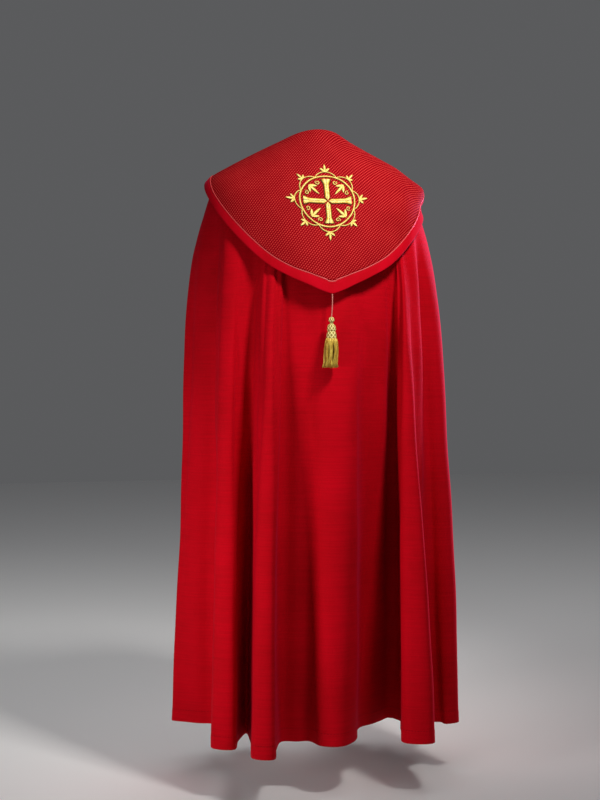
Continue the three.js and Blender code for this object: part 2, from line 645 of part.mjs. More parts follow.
function makeTassel() {
  const { headLength, headRadius, knobRadius, skirtLength, strand: size } = TASSEL;
  const knobBottom = -2 * knobRadius;
  const neck = 3.2;
  const headTop = knobBottom - 1;
  const headBottom = headTop - headLength;
  const knob = new THREE.SphereGeometry(knobRadius, 14, 8).rotateX(Math.PI / 2).translate(0, 0, -knobRadius);
  const head = turned(
    [
      [0, headBottom],
      [headRadius, headBottom],
      [headRadius + 0.8, headBottom + 6],
      [headRadius - 0.2, headBottom + 16],
      [headRadius - 2.4, headBottom + 27],
      [neck + 1.6, headBottom + 34],
      [neck, headTop + 3],
      [0, headTop + 3],
    ],
    16,
  );
  const strands = STRAND_RINGS.flatMap(({ count, root, foot }, ring) =>
    Array.from({ length: count }, (_, k) => {
      const angle = (2 * Math.PI * (k + 0.5 * ring)) / count;
      const uneven = 1.6 * Math.sin(2.3 * k + ring);
      return strand(
        new THREE.Vector3(root * Math.cos(angle), root * Math.sin(angle), headBottom + 3),
        new THREE.Vector3(foot * Math.cos(angle), foot * Math.sin(angle), headBottom - skirtLength + uneven),
        size,
      );
    }),
  );
  const tassel = part("tassel", joined([knob, head, ...strands]), GOLD_LOOK);
  tassel.position.copy(cordFoot).add(new THREE.Vector3(0, 0, -SEAM_GAP));
  return tassel;
}

const cope = new THREE.Group();
cope.add(
  ...makeMantle(),
  makeBand("front_band_left", 0),
  makeBand("front_band_right", MANTLE_COLUMNS - BAND_STRIPS),
  ...makeHood(),
  makeCross(),
  makeWreath(),
  makeStrap(),
  makeTasselCord(),
  makeTassel(),
);

export default cope;
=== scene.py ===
from math import cos, pi, radians, sin

import bpy
import numpy as np
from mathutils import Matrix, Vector


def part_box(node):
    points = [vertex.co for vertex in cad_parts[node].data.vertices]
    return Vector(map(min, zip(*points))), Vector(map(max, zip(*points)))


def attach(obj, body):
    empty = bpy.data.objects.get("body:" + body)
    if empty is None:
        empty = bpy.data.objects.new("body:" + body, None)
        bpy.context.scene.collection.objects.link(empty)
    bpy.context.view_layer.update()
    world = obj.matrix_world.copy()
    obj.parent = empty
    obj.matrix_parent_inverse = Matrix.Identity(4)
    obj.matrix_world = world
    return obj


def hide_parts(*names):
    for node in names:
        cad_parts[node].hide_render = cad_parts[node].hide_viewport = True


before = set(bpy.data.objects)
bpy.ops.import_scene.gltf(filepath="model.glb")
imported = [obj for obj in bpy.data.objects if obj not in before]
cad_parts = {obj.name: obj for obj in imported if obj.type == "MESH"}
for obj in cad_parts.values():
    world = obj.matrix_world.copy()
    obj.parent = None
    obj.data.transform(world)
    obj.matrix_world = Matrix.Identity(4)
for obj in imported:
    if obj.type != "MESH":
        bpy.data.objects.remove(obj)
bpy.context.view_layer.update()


# The camera
# It stands behind the cope, a little to its left, level with the tassel, and looks slightly down.
PHOTO_HEIGHT_PX = 800
FOCAL_LENGTH_PX = 1532.5
SENSOR_SIZE = 36
CAMERA_DISTANCE = 3.7357
CAMERA_HEIGHT = -0.428
CAMERA_AZIMUTH = radians(168)
CAMERA_TURN_LEFT = radians(0.4876)
CAMERA_PITCH = radians(2.92)


def standing(azimuth, distance, height):
    """A place by its turn round the part from the front, its distance and its height."""
    return Vector((distance * sin(azimuth), -distance * cos(azimuth), height))


camera_data = bpy.data.cameras.new("camera")
camera_data.sensor_width = SENSOR_SIZE
camera_data.lens = FOCAL_LENGTH_PX * SENSOR_SIZE / PHOTO_HEIGHT_PX
camera = bpy.data.objects.new("camera", camera_data)
camera.location = standing(CAMERA_AZIMUTH, CAMERA_DISTANCE, CAMERA_HEIGHT)
camera.rotation_euler = (pi / 2 - CAMERA_PITCH, 0, CAMERA_AZIMUTH + CAMERA_TURN_LEFT)
bpy.context.collection.objects.link(camera)
bpy.context.scene.camera = camera


# The floor and the light
# A plain pale floor under the hem. A soft light stands high on the camera's right and a low one on
# its left. A pink one far right draws the fold edges there and leaves the floor white. A wide one
# above lights the floor alone.
FLOOR_Z = -1.535
FLOOR_SIZE = 14
FLOOR_COLOR = (0.86, 0.86, 0.86, 1)
FLOOR_ROUGHNESS = 0.9
SKY_COLOR = (0.86, 0.87, 0.9, 1)
SKY_STRENGTH = 0.12

# Each light's turn round the part, its distance and height, the height it aims at, its spread, its
# size, its power and its colour.
LIGHTS = {
    "key_light": (205, 1.45, 1.2, -0.38, 48, 0.35, 4.1, (1, 0.97, 0.93)),
    "left_light": (124, 2.5, -0.75, -1.0, 48, 0.6, 3.0, (1, 0.96, 0.96)),
    "edge_light": (300, 2.2, -0.2, -0.5, 76, 0.5, 13, (1, 0.38, 0.8)),
    "floor_light": (0, 0.5, 2.6, -1.5, 180, 3.0, 56, (1, 1, 1)),
}

floor_half = FLOOR_SIZE / 2
floor_mesh = bpy.data.meshes.new("floor")
floor_mesh.from_pydata(
    [(x * floor_half, y * floor_half, FLOOR_Z) for x, y in ((-1, -1), (1, -1), (1, 1), (-1, 1))],
    [],
    [(0, 1, 2, 3)],
)
floor_paint = bpy.data.materials.new("floor_paint")
floor_paint.use_nodes = True
floor_shader = floor_paint.node_tree.nodes["Principled BSDF"]
floor_shader.inputs["Base Color"].default_value = FLOOR_COLOR
floor_shader.inputs["Roughness"].default_value = FLOOR_ROUGHNESS
floor_mesh.materials.append(floor_paint)
floor = bpy.data.objects.new("floor", floor_mesh)
bpy.context.collection.objects.link(floor)
floor_alone = bpy.data.collections.new("floor_alone")
floor_alone.objects.link(floor)
all_but_floor = bpy.data.collections.new("all_but_floor")
all_but_floor.objects.link(floor)
all_but_floor.collection_objects[0].light_linking.link_state = "EXCLUDE"
receivers = {"edge_light": all_but_floor, "floor_light": floor_alone}

world = bpy.data.worlds.new("studio")
world.use_nodes = True
sky = world.node_tree.nodes["Background"]
sky.inputs["Color"].default_value = SKY_COLOR
sky.inputs["Strength"].default_value = SKY_STRENGTH
bpy.context.scene.world = world
bpy.context.scene.view_settings.view_transform = "Standard"

for name, (azimuth, distance, height, aim_height, spread, size, watts, color) in LIGHTS.items():
    lamp = bpy.data.lights.new(name, "AREA")
    lamp.energy = watts
    lamp.size = size
    lamp.color = color
    lamp.spread = radians(spread)
    lamp_object = bpy.data.objects.new(name, lamp)
    lamp_object.location = standing(radians(azimuth), distance, height)
    aim = Vector((0, 0, aim_height)) - lamp_object.location
    lamp_object.rotation_euler = aim.to_track_quat("-Z", "Y").to_euler()
    bpy.context.collection.objects.link(lamp_object)
    if name in receivers:
        lamp_object.light_linking.receiver_collection = receivers[name]


# The tassel's cord
# A thin cord twisted from two plies, pinkish gold, sewn to the hood's tip. The tassel hangs on it.
# It ends inside the tassel's skirt.
CORD_DIAMETER = 0.0026
CORD_TWIST_PITCH = 0.0065
CORD_PLY_DEPTH = 0.2
CORD_POINTS = 160
CORD_THROUGH_TASSEL = 0.082
CORD_SAG = np.array([-0.0008, 0.0008, 0])
CORD_SIDES = 12
CORD_COLOR = (0.72, 0.24, 0.2)
CORD_SHADE_COLOR = (0.42, 0.08, 0.06)


def stacked(*parts):
    """Arrays brought to one shape and laid side by side along a new last axis."""
    return np.stack(np.broadcast_arrays(*parts), -1)


def through_three(first, middle, last, count):
    """Points at even steps on the quadratic curve through three points."""
    t = np.linspace(0, 1, count)[:, None]
    return first * (1 - t) * (1 - 2 * t) + middle * 4 * t * (1 - t) + last * t * (2 * t - 1)


def frames_along(path):
    """Unit side and front vectors square to a path that runs mostly up or down."""
    along = np.gradient(path, axis=0)
    along /= np.linalg.norm(along, axis=1, keepdims=True)
    side = np.cross(along, [0, 1, 0])
    side /= np.linalg.norm(side, axis=1, keepdims=True)
    return side, np.cross(side, along)


def grid_faces(rows, columns, wrap=False):
    """Quads of a grid of vertices numbered row by row; wrap joins the last column to the first."""
    row = np.arange(rows - 1)[:, None] * columns
    column = np.arange(columns if wrap else columns - 1)[None, :]
    right = (column + 1) % columns
    below = row + columns
    return stacked(row + column, below + column, below + right, row + right).reshape(-1, 4)


def tube_faces(rings, sides):
    """Faces of a tube whose vertices are numbered ring by ring, with a cap at each end."""
    last = (rings - 1) * sides
    caps = [tuple(range(sides)), tuple(range(last, last + sides))[::-1]]
    return [tuple(quad) for quad in grid_faces(rings, sides, wrap=True)] + caps


def new_piece(name, points, faces, uv, finish):
    """A smooth mesh object with one UV place for each vertex, which rides on the part's one body."""
    points = np.asarray(points, float).reshape(-1, 3)
    mesh = bpy.data.meshes.new(name)
    mesh.from_pydata(points, [], [tuple(int(k) for k in face) for face in faces])
    corners = np.empty(len(mesh.loops), np.int32)
    mesh.loops.foreach_get("vertex_index", corners)
    layer = mesh.uv_layers.new(name="surface")
    layer.data.foreach_set("uv", np.asarray(uv, float).reshape(-1, 2)[corners].ravel())
    mesh.polygons.foreach_set("use_smooth", np.ones(len(mesh.polygons), bool))
    mesh.materials.append(finish.material)
    mesh.validate()
    piece = bpy.data.objects.new(name, mesh)
    bpy.context.collection.objects.link(piece)
    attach(piece, "root")
    return piece


class Value:
    """One output of a material's nodes. Arithmetic on it adds Math nodes."""

    def __init__(self, finish, socket):
        self.finish = finish
        self.socket = socket

    def math(self, operation, *others):
        sockets = {k: value for k, value in enumerate((self, *others))}
        return self.finish.node("ShaderNodeMath", {"operation": operation}, sockets)

    def __add__(self, other):
        return self.math("ADD", other)

    def __mul__(self, other):
        return self.math("MULTIPLY", other)

    def __sub__(self, other):
        return self.math("SUBTRACT", other)

    def __truediv__(self, other):
        return self.math("DIVIDE", other)

    def __rsub__(self, other):
        return self.finish.node("ShaderNodeMath", {"operation": "SUBTRACT"}, {0: other, 1: self})

    __radd__ = __add__
    __rmul__ = __mul__

    def wave(self, pitch=1):
        """The sine of the value, brought to 0..1, with one turn for each pitch."""
        return (self * (2 * pi / pitch)).math("SINE") * 0.5 + 0.5

    def stitch_line(self):
        """1 where the value is within 0.4 mm of nought, and 0 from 1.1 mm on."""
        return 1 - self.math("ABSOLUTE").between(0.0004, 0.0011)

    def between(self, low, high):
        """0 below low and 1 above high, with a soft step."""
        soft = {"interpolation_type": "SMOOTHSTEP"}
        sockets = {"Value": self, "From Min": low, "From Max": high}
        return self.finish.node("ShaderNodeMapRange", soft, sockets, "Result")


class Finish:
    """A material whose nodes are added one by one to a Principled shader."""

    def __init__(self, name, roughness, **constants):
        self.material = bpy.data.materials.new(name)
        self.material.use_nodes = True
        self.tree = self.material.node_tree
        self.shader = self.tree.nodes["Principled BSDF"]
        self.shader.inputs["Roughness"].default_value = roughness
        for socket, value in constants.items():
            self.shader.inputs[socket.replace("_", " ")].default_value = value

    def node(self, kind, settings, sockets, output=0):
        """Adds a node, sets it, fills or links its sockets, and returns one of its outputs."""
        node = self.tree.nodes.new(kind)
        for setting, value in settings.items():
            setattr(node, setting, value)
        for key, value in sockets.items():
            self.fill(self.find(node.inputs, key), value)
        return Value(self, self.find(node.outputs, output))

    def find(self, sockets, key):
        if isinstance(key, int):
            return sockets[key]
        return next(s for s in sockets if key in (s.identifier, s.name))

    def fill(self, socket, value):
        if isinstance(value, Value):
            self.tree.links.new(value.socket, socket)
        elif isinstance(value, tuple) and socket.type == "RGBA":
            socket.default_value = (*value, 1)
        else:
            socket.default_value = value

    def surface(self):
        """The piece's UV place, as its first and second numbers and as a vector."""
        vector = self.node("ShaderNodeTexCoord", {}, {}, "UV")
        across = self.node("ShaderNodeSeparateXYZ", {}, {0: vector}, "X")
        up = self.node("ShaderNodeSeparateXYZ", {}, {0: vector}, "Y")
        return across, up, vector

    def noise(self, place, scale, detail, rough):
        sockets = {"Vector": place, "Scale": scale, "Detail": detail, "Roughness": rough}
        return self.node("ShaderNodeTexNoise", {}, sockets, "Fac")

    def streaks(self, x, y, detail, rough):
        """Noise over two measures, drawn out along the one with the smaller factor."""
        return self.noise(self.node("ShaderNodeCombineXYZ", {}, {"X": x, "Y": y}), 1.0, detail, rough)

    def mix(self, factor, first, second):
        sockets = {"Factor_Float": factor, "A_Color": first, "B_Color": second}
        return self.node("ShaderNodeMix", {"data_type": "RGBA"}, sockets, "Result_Color")

    def color(self, value):
        self.fill(self.shader.inputs["Base Color"], value)

    def rough(self, value):
        self.fill(self.shader.inputs["Roughness"], value)

    def bump(self, height, depth, strength=1.0):
        """Relief of a depth in metres."""
        sockets = {"Height": height, "Distance": depth, "Strength": strength}
        self.fill(self.shader.inputs["Normal"], self.node("ShaderNodeBump", {}, sockets, "Normal"))


def make_cord_finish():
    finish = Finish("twisted_cord", 0.5, Sheen_Weight=0.3)
    turn, length, _ = finish.surface()
    strand = (turn * 2 + length / CORD_TWIST_PITCH * 2).wave()
    finish.color(finish.mix(strand.between(0.15, 0.7), CORD_SHADE_COLOR, CORD_COLOR))
    finish.bump(strand, 0.0002)
    return finish


def make_tassel_cord():
    low, high = (np.array(corner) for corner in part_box("tassel_cord"))
    inset = CORD_DIAMETER / 2
    top = np.array([low[0] + inset, low[1] + inset, high[2]])
    bottom = np.array([high[0] - inset, high[1] - inset, low[2]])
    middle = (low + high) / 2 + CORD_SAG
    half = CORD_POINTS // 2
    free = through_three(top, middle, bottom, half)
    inside = bottom - np.outer(np.arange(1, half + 1) / half, [0, 0, CORD_THROUGH_TASSEL])
    path = np.concatenate([free, inside])
    side, front = frames_along(path)
    turn = np.linspace(0, 2 * pi, CORD_SIDES, endpoint=False)[None, :]
    length = np.concatenate([[0], np.cumsum(np.linalg.norm(np.diff(path, axis=0), axis=1))])[:, None]
    hollow = CORD_PLY_DEPTH * np.sin(turn + pi * length / CORD_TWIST_PITCH) ** 2
    radius = CORD_DIAMETER / 2 * (1 - hollow)
    ring = path[:, None] + radius[..., None] * (
        np.cos(turn)[..., None] * side[:, None] + np.sin(turn)[..., None] * front[:, None]
    )
    faces = tube_faces(CORD_POINTS, CORD_SIDES)
    uv = stacked(turn / (2 * pi), length)
    cord = new_piece("tassel_cord_twisted", ring, faces, uv, make_cord_finish())
    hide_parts("tassel_cord")
    return cord, path, bottom, float(length[-1, 0])


tassel_cord, cord_path, tassel_top, cord_length = make_tassel_cord()


# The mantle
# Near half a circle of fine red woollen cloth, a back and two fronts sewn together, hung from the
# shoulders. It falls in deep folds, and its hem is turned up and stitched.
HEM_Z = -1.415
MANTLE_WALL = 0.0019
MANTLE_COLUMNS = 330
ROWS_TO_EACH_RING = [5] * 8 + [11] * 7
HEM_TURN = 0.03
HEM_EXTRA_THICKNESS = 0.0007
HEM_ROWS = 8
HEM_ROWS_HEIGHT = 1.15 * HEM_TURN
HEM_STITCH_PITCH = 0.007
SEAM_DEPTH = 0.0006
SEAM_WIDTH = 0.004
EDGE_ANGLE = 170
FOLDS_SPREAD_BY_RING = 8
LOW_SHOULDER_DROP = 0.013


def table(columns, rows):
    """A table as arrays, one for each named column."""
    return dict(zip(columns.split(), np.array(rows, float).T))


MANTLE_RINGS = table(
    "side_x  side_z  back_y  back_z  front_y  front_z  edge  fold",
    [
        (0.072, 0.006, 0.066, 0.026, 0.080, -0.022, 125, 0),
        (0.113, -0.016, 0.090, -0.017, 0.100, -0.060, 146, 0),
        (0.157, -0.041, 0.114, -0.061, 0.118, -0.102, 156.5, 0),
        (0.199, -0.066, 0.135, -0.106, 0.132, -0.146, 163, 0),
        (0.231, -0.092, 0.152, -0.148, 0.142, -0.188, 167, 0),
        (0.252, -0.128, 0.165, -0.190, 0.149, -0.228, 169, 0.01),
        (0.268, -0.176, 0.175, -0.236, 0.155, -0.272, 170, 0.03),
        (0.283, -0.230, 0.182, -0.288, 0.160, -0.320, 170, 0.07),
        (0.295, -0.296, 0.187, -0.350, 0.164, -0.376, 170, 0.125),
        (0.303, -0.410, 0.191, -0.445, 0.170, -0.456, 170, 0.215),
        (0.309, -0.560, 0.196, -0.570, 0.175, -0.574, 170, 0.33),
        (0.312, -0.720, 0.201, -0.720, 0.180, -0.720, 170, 0.45),
        (0.317, -0.900, 0.205, -0.900, 0.186, -0.900, 170, 0.595),
        (0.322, -1.080, 0.209, -1.080, 0.191, -1.080, 170, 0.74),
        (0.327, -1.250, 0.212, -1.250, 0.196, -1.250, 170, 0.875),
        (0.330, HEM_Z, 0.215, HEM_Z, 0.200, HEM_Z, 170, 1),
    ],
)

# Each fold's angle below the shoulders and its place at the hem, from the left front edge round the
# back to the right one: front and side folds, the second and third pipes, the middle ripples, the
# fourth pipe, a broad recess, the fifth pipe, and the right side and front folds.
HEM_FOLDS = table(
    "angle  x  y",
    [
        (170, 0.070, -0.232),
        (157, 0.125, -0.238),
        (146, 0.180, -0.226),
        (134, 0.194, -0.150),
        (124, 0.254, -0.226),
        (112, 0.262, -0.122),
        (99, 0.340, -0.093),
        (80, 0.294, -0.060),
        (62, 0.240, -0.020),
        (57, 0.250, 0.070),
        (53, 0.275, 0.179),
        (48, 0.230, 0.202),
        (42, 0.207, 0.130),
        (35, 0.178, 0.066),
        (32, 0.184, 0.180),
        (29.5, 0.196, 0.284),
        (26.5, 0.156, 0.300),
        (24, 0.134, 0.222),
        (20, 0.106, 0.153),
        (15, 0.074, 0.161),
        (10, 0.045, 0.163),
        (2, 0.022, 0.208),
        (-8, -0.024, 0.219),
        (-14, -0.067, 0.157),
        (-20, -0.107, 0.082),
        (-28, -0.141, 0.059),
        (-34, -0.194, -0.002),
        (-37, -0.193, 0.120),
        (-40, -0.177, 0.226),
        (-44, -0.236, 0.243),
        (-49, -0.258, 0.168),
        (-55, -0.280, 0.092),
        (-64, -0.317, 0.098),
        (-76, -0.360, 0.064),
        (-90, -0.284, -0.022),
        (-103, -0.335, -0.115),
        (-114, -0.260, -0.112),
        (-125, -0.262, -0.222),
        (-134, -0.196, -0.150),
        (-146, -0.180, -0.226),
        (-157, -0.125, -0.238),
        (-170, -0.070, -0.232),
    ],
)
SEAM_FOLDS = (8, 34)

# The creases between the folds: where each runs at its top and its bottom, as shares of the cloth
# from left to right, the heights it starts and ends at, its depth, which is negative for a ridge,
# and its width as a share.
CREASES = table(
    "top_share  bottom_share  top_z  bottom_z  depth  width",
    [
        (0.100, 0.088, -0.30, -1.20, 0.006, 0.022),
        (0.150, 0.140, -0.24, -0.95, -0.005, 0.020),
        (0.164, 0.158, -0.22, -1.30, 0.008, 0.010),
        (0.190, 0.187, -0.42, -1.75, 0.009, 0.012),
        (0.203, 0.194, -0.20, -1.40, 0.009, 0.018),
        (0.238, 0.232, -0.26, -0.80, -0.005, 0.016),
        (0.292, 0.284, -0.30, -0.88, 0.005, 0.018),
        (0.345, 0.352, -0.33, -1.05, -0.004, 0.022),
        (0.402, 0.372, -0.15, -0.95, 0.008, 0.020),
        (0.446, 0.416, -0.15, -1.00, -0.010, 0.022),
        (0.455, 0.448, -0.34, -1.38, 0.006, 0.026),
        (0.492, 0.500, -0.38, -1.10, -0.004, 0.024),
        (0.521, 0.525, -0.33, -1.70, -0.013, 0.026),
        (0.500, 0.503, -0.55, -1.90, -0.008, 0.022),
        (0.566, 0.560, -0.30, -0.96, -0.006, 0.018),
        (0.566, 0.566, -0.75, -2.00, 0.013, 0.040),
        (0.590, 0.602, -0.27, -1.20, 0.008, 0.016),
        (0.602, 0.622, -0.70, -1.95, 0.018, 0.024),
        (0.628, 0.636, -0.26, -0.90, -0.007, 0.012),
        (0.668, 0.664, -0.22, -1.60, -0.007, 0.018),
        (0.690, 0.762, -0.18, -1.75, 0.028, 0.042),
        (0.748, 0.752, -0.20, -1.75, 0.024, 0.016),
        (0.768, 0.786, -0.28, -1.32, -0.008, 0.020),
        (0.790, 0.784, -0.26, -0.98, 0.006, 0.020),
        (0.862, 0.870, -0.30, -1.25, -0.006, 0.024),
        (0.910, 0.904, -0.34, -0.90, 0.005, 0.018),
    ],
)

CREASE_SWAY = 0.003
CLOTH_UNREST = 0.0009
WEFT_PITCH = 0.0016
WARP_PITCH = 0.0018
MANTLE_COLOR = (0.56, 0.0, 0.008)
MANTLE_DEEP_COLOR = (0.4, 0.0, 0.004)
HEM_STITCH_COLOR = (0.2, 0.0015, 0.004)
MANTLE_SHEEN_TINT = (1.0, 0.05, 0.2, 1)


def smooth_step(value, low, high):
    t = np.clip((value - low) / (high - low), 0, 1)
    return t * t * (3 - 2 * t)


def read_column(columns, name, place):
    """A smooth reading of one column at a place given in rows: a cubic between two rows whose
    slopes are half the difference of the rows on either side."""
    values = columns[name]
    last = len(values) - 1
    row = np.minimum(np.floor(place).astype(int), last - 1)
    t = place - row
    a, b, c, d = (values[np.clip(row + k, 0, last)] for k in (-1, 0, 1, 2))
    return (
        b * (1 + 2 * t) * (1 - t) ** 2
        + (c - a) / 2 * t * (1 - t) ** 2
        + c * t**2 * (3 - 2 * t)
        + (d - b) / 2 * t**2 * (t - 1)
    )


def ring_point(rings, place, angle):
    """A point of a ring of cloth. It is an ellipse in plan, with one half length for the back and
    one for the front, and its height goes from the side's to the end's as the cosine squared."""
    s, c = np.sin(np.radians(angle)), np.cos(np.radians(angle))
    side_z = read_column(rings, "side_z", place)
    end_y = np.where(c >= 0, read_column(rings, "back_y", place), read_column(rings, "front_y", place))
    end_z = np.where(c >= 0, read_column(rings, "back_z", place), read_column(rings, "front_z", place))
    x = read_column(rings, "side_x", place) * s
    return stacked(x, end_y * c, side_z + (end_z - side_z) * c * c)


def lower_right_shoulder(points):
    """Points drop on the far right of the shoulders, and not at all near the hem."""
    outward = smooth_step(-points[..., 0], 0.19, 0.28)
    upper = 1 - smooth_step(-points[..., 2], 0.3, 0.9)
    points[..., 2] -= LOW_SHOULDER_DROP * outward * upper
    return points


def through_points(points, where):
    """The centripetal Catmull-Rom curve through each row of points, at places given in points."""
    first = 2 * points[:, :1] - points[:, 1:2]
    last = 2 * points[:, -1:] - points[:, -2:-1]
    padded = np.concatenate([first, points, last], 1)
    start = np.clip(np.floor(where).astype(int), 0, points.shape[1] - 2)
    t = (where - start)[..., None]
    row = np.arange(len(points))[:, None]
    p0, p1, p2, p3 = (padded[row, start + k] for k in range(4))
    d0, d1, d2 = (
        np.maximum(np.sqrt(np.linalg.norm(b - a, axis=-1, keepdims=True)), 1e-5)
        for a, b in ((p0, p1), (p1, p2), (p2, p3))
    )
    slope1 = ((p1 - p0) / d0 - (p2 - p0) / (d0 + d1) + (p2 - p1) / d1) * d1
    slope2 = ((p2 - p1) / d1 - (p3 - p1) / (d1 + d2) + (p3 - p2) / d2) * d1
    return (
        p1
        + slope1 * t
        + (3 * (p2 - p1) - 2 * slope1 - slope2) * t**2
        + (2 * (p1 - p2) + slope1 + slope2) * t**3
    )


def lengths_along(points):
    """The distance from the first point of each row, along the row."""
    steps = np.linalg.norm(np.diff(points, axis=-2), axis=-1)
    return np.concatenate([np.zeros((*steps.shape[:-1], 1)), np.cumsum(steps, -1)], -1)


def outward_normals(grid):
    """Unit normals of a grid whose rows run down the cloth and whose columns run to the right."""
    normals = np.cross(np.gradient(grid, axis=0), np.gradient(grid, axis=1))
    return normals / np.linalg.norm(normals, axis=-1, keepdims=True)


def cloth_wall(name, outer, inner, uv, finish):
    """A closed wall between two grids, with the rims joined."""
    rows, columns = outer.shape[:2]
    count = rows * columns
    number = np.arange(count).reshape(rows, columns)
    front = grid_faces(rows, columns)
    back = front[:, ::-1] + count
    rim = np.concatenate([number[:, 0], number[-1, 1:], number[-2::-1, -1], number[0, -2:0:-1]])
    after = np.roll(rim, -1)
    edge = stacked(rim, rim + count, after + count, after)
    faces = np.concatenate([front, back, edge])
    points = np.concatenate([outer.reshape(-1, 3), inner.reshape(-1, 3)])
    places = np.concatenate([uv.reshape(-1, 2), uv.reshape(-1, 2)])
    return new_piece(name, points, faces, places, finish)


def cloth_area(grid):
    """The area of a grid of cloth."""
    cross = np.cross(grid[1:, :-1] - grid[:-1, :-1], grid[:-1, 1:] - grid[:-1, :-1])
    return float(np.linalg.norm(cross, axis=-1).sum())


HEM_SAMPLES = 2000
hem_points = stacked(HEM_FOLDS["x"], HEM_FOLDS["y"], HEM_Z)
hem_places = np.linspace(0, len(hem_points) - 1, HEM_SAMPLES)
hem_lengths = lengths_along(through_points(hem_points[None], hem_places[None]))[0]
HEM_LENGTH = float(hem_lengths[-1])
fold_shares = np.interp(np.arange(len(hem_points)), hem_places, hem_lengths) / HEM_LENGTH


def mantle_rows():
    """The rings that the fine rows lie on: even steps between rings, and close rows at the hem."""
    steps = [np.linspace(k, k + 1, n, endpoint=False) for k, n in enumerate(ROWS_TO_EACH_RING)]
    last_ring_height = MANTLE_RINGS["side_z"][-2] - HEM_Z
    turn = len(ROWS_TO_EACH_RING) - np.linspace(HEM_ROWS_HEIGHT, 0, HEM_ROWS) / last_ring_height
    rows = np.concatenate(steps)
    return np.concatenate([rows[rows < turn[0] - 0.01], turn])


def mantle_surface():
    """The mantle's outer face. Each fold's line goes from its place on a ring without folds to its
    place at the hem, by the ring's share of the folds, and each ring is the curve through them."""
    place = mantle_rows()[:, None]
    edge = read_column(MANTLE_RINGS, "edge", place)
    share = read_column(MANTLE_RINGS, "fold", place)
    angle = HEM_FOLDS["angle"][None, :]
    even = edge * (1 - 2 * fold_shares[None, :])
    own = angle * edge / EDGE_ANGLE
    spread = smooth_step(place, 0, FOLDS_SPREAD_BY_RING)
    points = ring_point(MANTLE_RINGS, place, even + (own - even) * spread)
    plain = ring_point(MANTLE_RINGS, np.full_like(angle, len(MANTLE_RINGS["fold"]) - 1.0), angle)
    points[..., :2] += share[..., None] * (hem_points[None, :, :2] - plain[..., :2])
    lower_right_shoulder(points)
    columns = np.interp(np.linspace(0, HEM_LENGTH, MANTLE_COLUMNS), hem_lengths, hem_places)
    return through_points(points, np.broadcast_to(columns, (len(points), MANTLE_COLUMNS)))


def creased(grid, share):
    """The grid with its creases: each is a bell across and fades in and out along its length as a
    half sine. A slight unrest of two crossed waves is added below the shoulders."""
    height = grid[..., 2]
    push = np.zeros(height.shape)
    for top_share, bottom_share, top, bottom, depth, width in zip(*CREASES.values()):
        t = np.clip((top - height) / (top - bottom), 0, 1)
        sway = CREASE_SWAY * np.sin(7 * t + 40 * top_share)
        centre = top_share + (bottom_share - top_share) * t + sway
        push -= depth * np.exp(-(((share - centre) / width) ** 2) * 4) * np.sin(pi * t) ** 0.8
    unrest = np.sin(61 * share + 5 * height) * np.sin(23 * height + 31 * share)
    push += CLOTH_UNREST * unrest * smooth_step(-height, 0.1, 0.5)
    return grid + push[..., None] * outward_normals(grid)


def make_wool(name):
    """A woollen finish: dull, with a short nap that lights up at the edges of the folds."""
    constants = dict(Specular_IOR_Level=0.06, Sheen_Weight=0.14, Sheen_Roughness=0.35)
    return Finish(name, 0.82, Sheen_Tint=MANTLE_SHEEN_TINT, **constants)


def make_mantle_finish():
    finish = make_wool("red_wool")
    along, above_hem, place = finish.surface()
    slubs = finish.streaks(along * 9, above_hem * 260, 4.0, 0.6)
    long_slubs = finish.streaks(along * 3, above_hem * 520, 2.0, 0.5)
    cloud = finish.noise(place, 6.0, 4.0, 0.6)
    weft = above_hem.wave(WEFT_PITCH)
    warp = along.wave(WARP_PITCH)
    tone = slubs.between(0.25, 0.75) * 0.55 + cloud.between(0.3, 0.7) * 0.45
    cloth = finish.mix(tone, MANTLE_DEEP_COLOR, MANTLE_COLOR)
    line = (above_hem - HEM_TURN).stitch_line()
    stitch = along.wave(HEM_STITCH_PITCH).between(0.3, 0.45)
    finish.color(finish.mix(line * stitch * 0.55, cloth, HEM_STITCH_COLOR))
    finish.rough(0.72 + 0.18 * slubs)
    threads = weft * 0.35 + warp * 0.2 + slubs * 1.3 + long_slubs * 0.7
    finish.bump(threads - line * (1 + stitch) * 1.2, 0.00035, 0.8)
    return finish


def make_mantle():
    grid = mantle_surface()
    share = np.broadcast_to(np.linspace(0, 1, MANTLE_COLUMNS), grid.shape[:2])
    above_hem = lengths_along(grid[::-1].transpose(1, 0, 2)).T[::-1]
    outer = creased(grid, share)
    hem = HEM_EXTRA_THICKNESS * (1 - smooth_step(above_hem, HEM_TURN - 0.002, HEM_TURN + 0.001))
    seams = sum(
        SEAM_DEPTH * np.exp(-(((share - fold_shares[k]) * HEM_LENGTH / SEAM_WIDTH) ** 2))
        for k in SEAM_FOLDS
    )
    normals = outward_normals(outer)
    outer = outer + (hem - seams)[..., None] * normals
    inner = outer - MANTLE_WALL * normals
    uv = stacked(share * HEM_LENGTH, above_hem)
    mantle = cloth_wall("mantle_draped", outer, inner, uv, make_mantle_finish())
    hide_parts("mantle_left", "mantle_back", "mantle_right")
    return mantle, outer, above_hem


mantle, mantle_grid, mantle_above_hem = make_mantle()
cloth_area(mantle_grid)


# The front bands
# A strip of dark red brocade on each front edge, lined up with it and stitched down along both
# sides. The hood is cut from the same brocade.
BAND_WIDTHS = table("ring  width", [(0, 0.062), (1, 0.084), (2, 0.100), (15, 0.100)])
BAND_COLUMNS = 22
BAND_OVER_MANTLE = 0.0006
BAND_WALL = 0.0014
BAND_ROUNDING = 0.0005
BROCADE_GROUND = (0.44, 0.0, 0.006)
BROCADE_WEAR_AND_SHADE = (0.16, 0.0, 0.003)
BROCADE_DASH = (0.92, 0.09, 0.075)
BROCADE_ROW_PITCH = 0.0054
BROCADE_DASH_PITCH = 0.0056
BROCADE_ROW_ANGLE = radians(47)


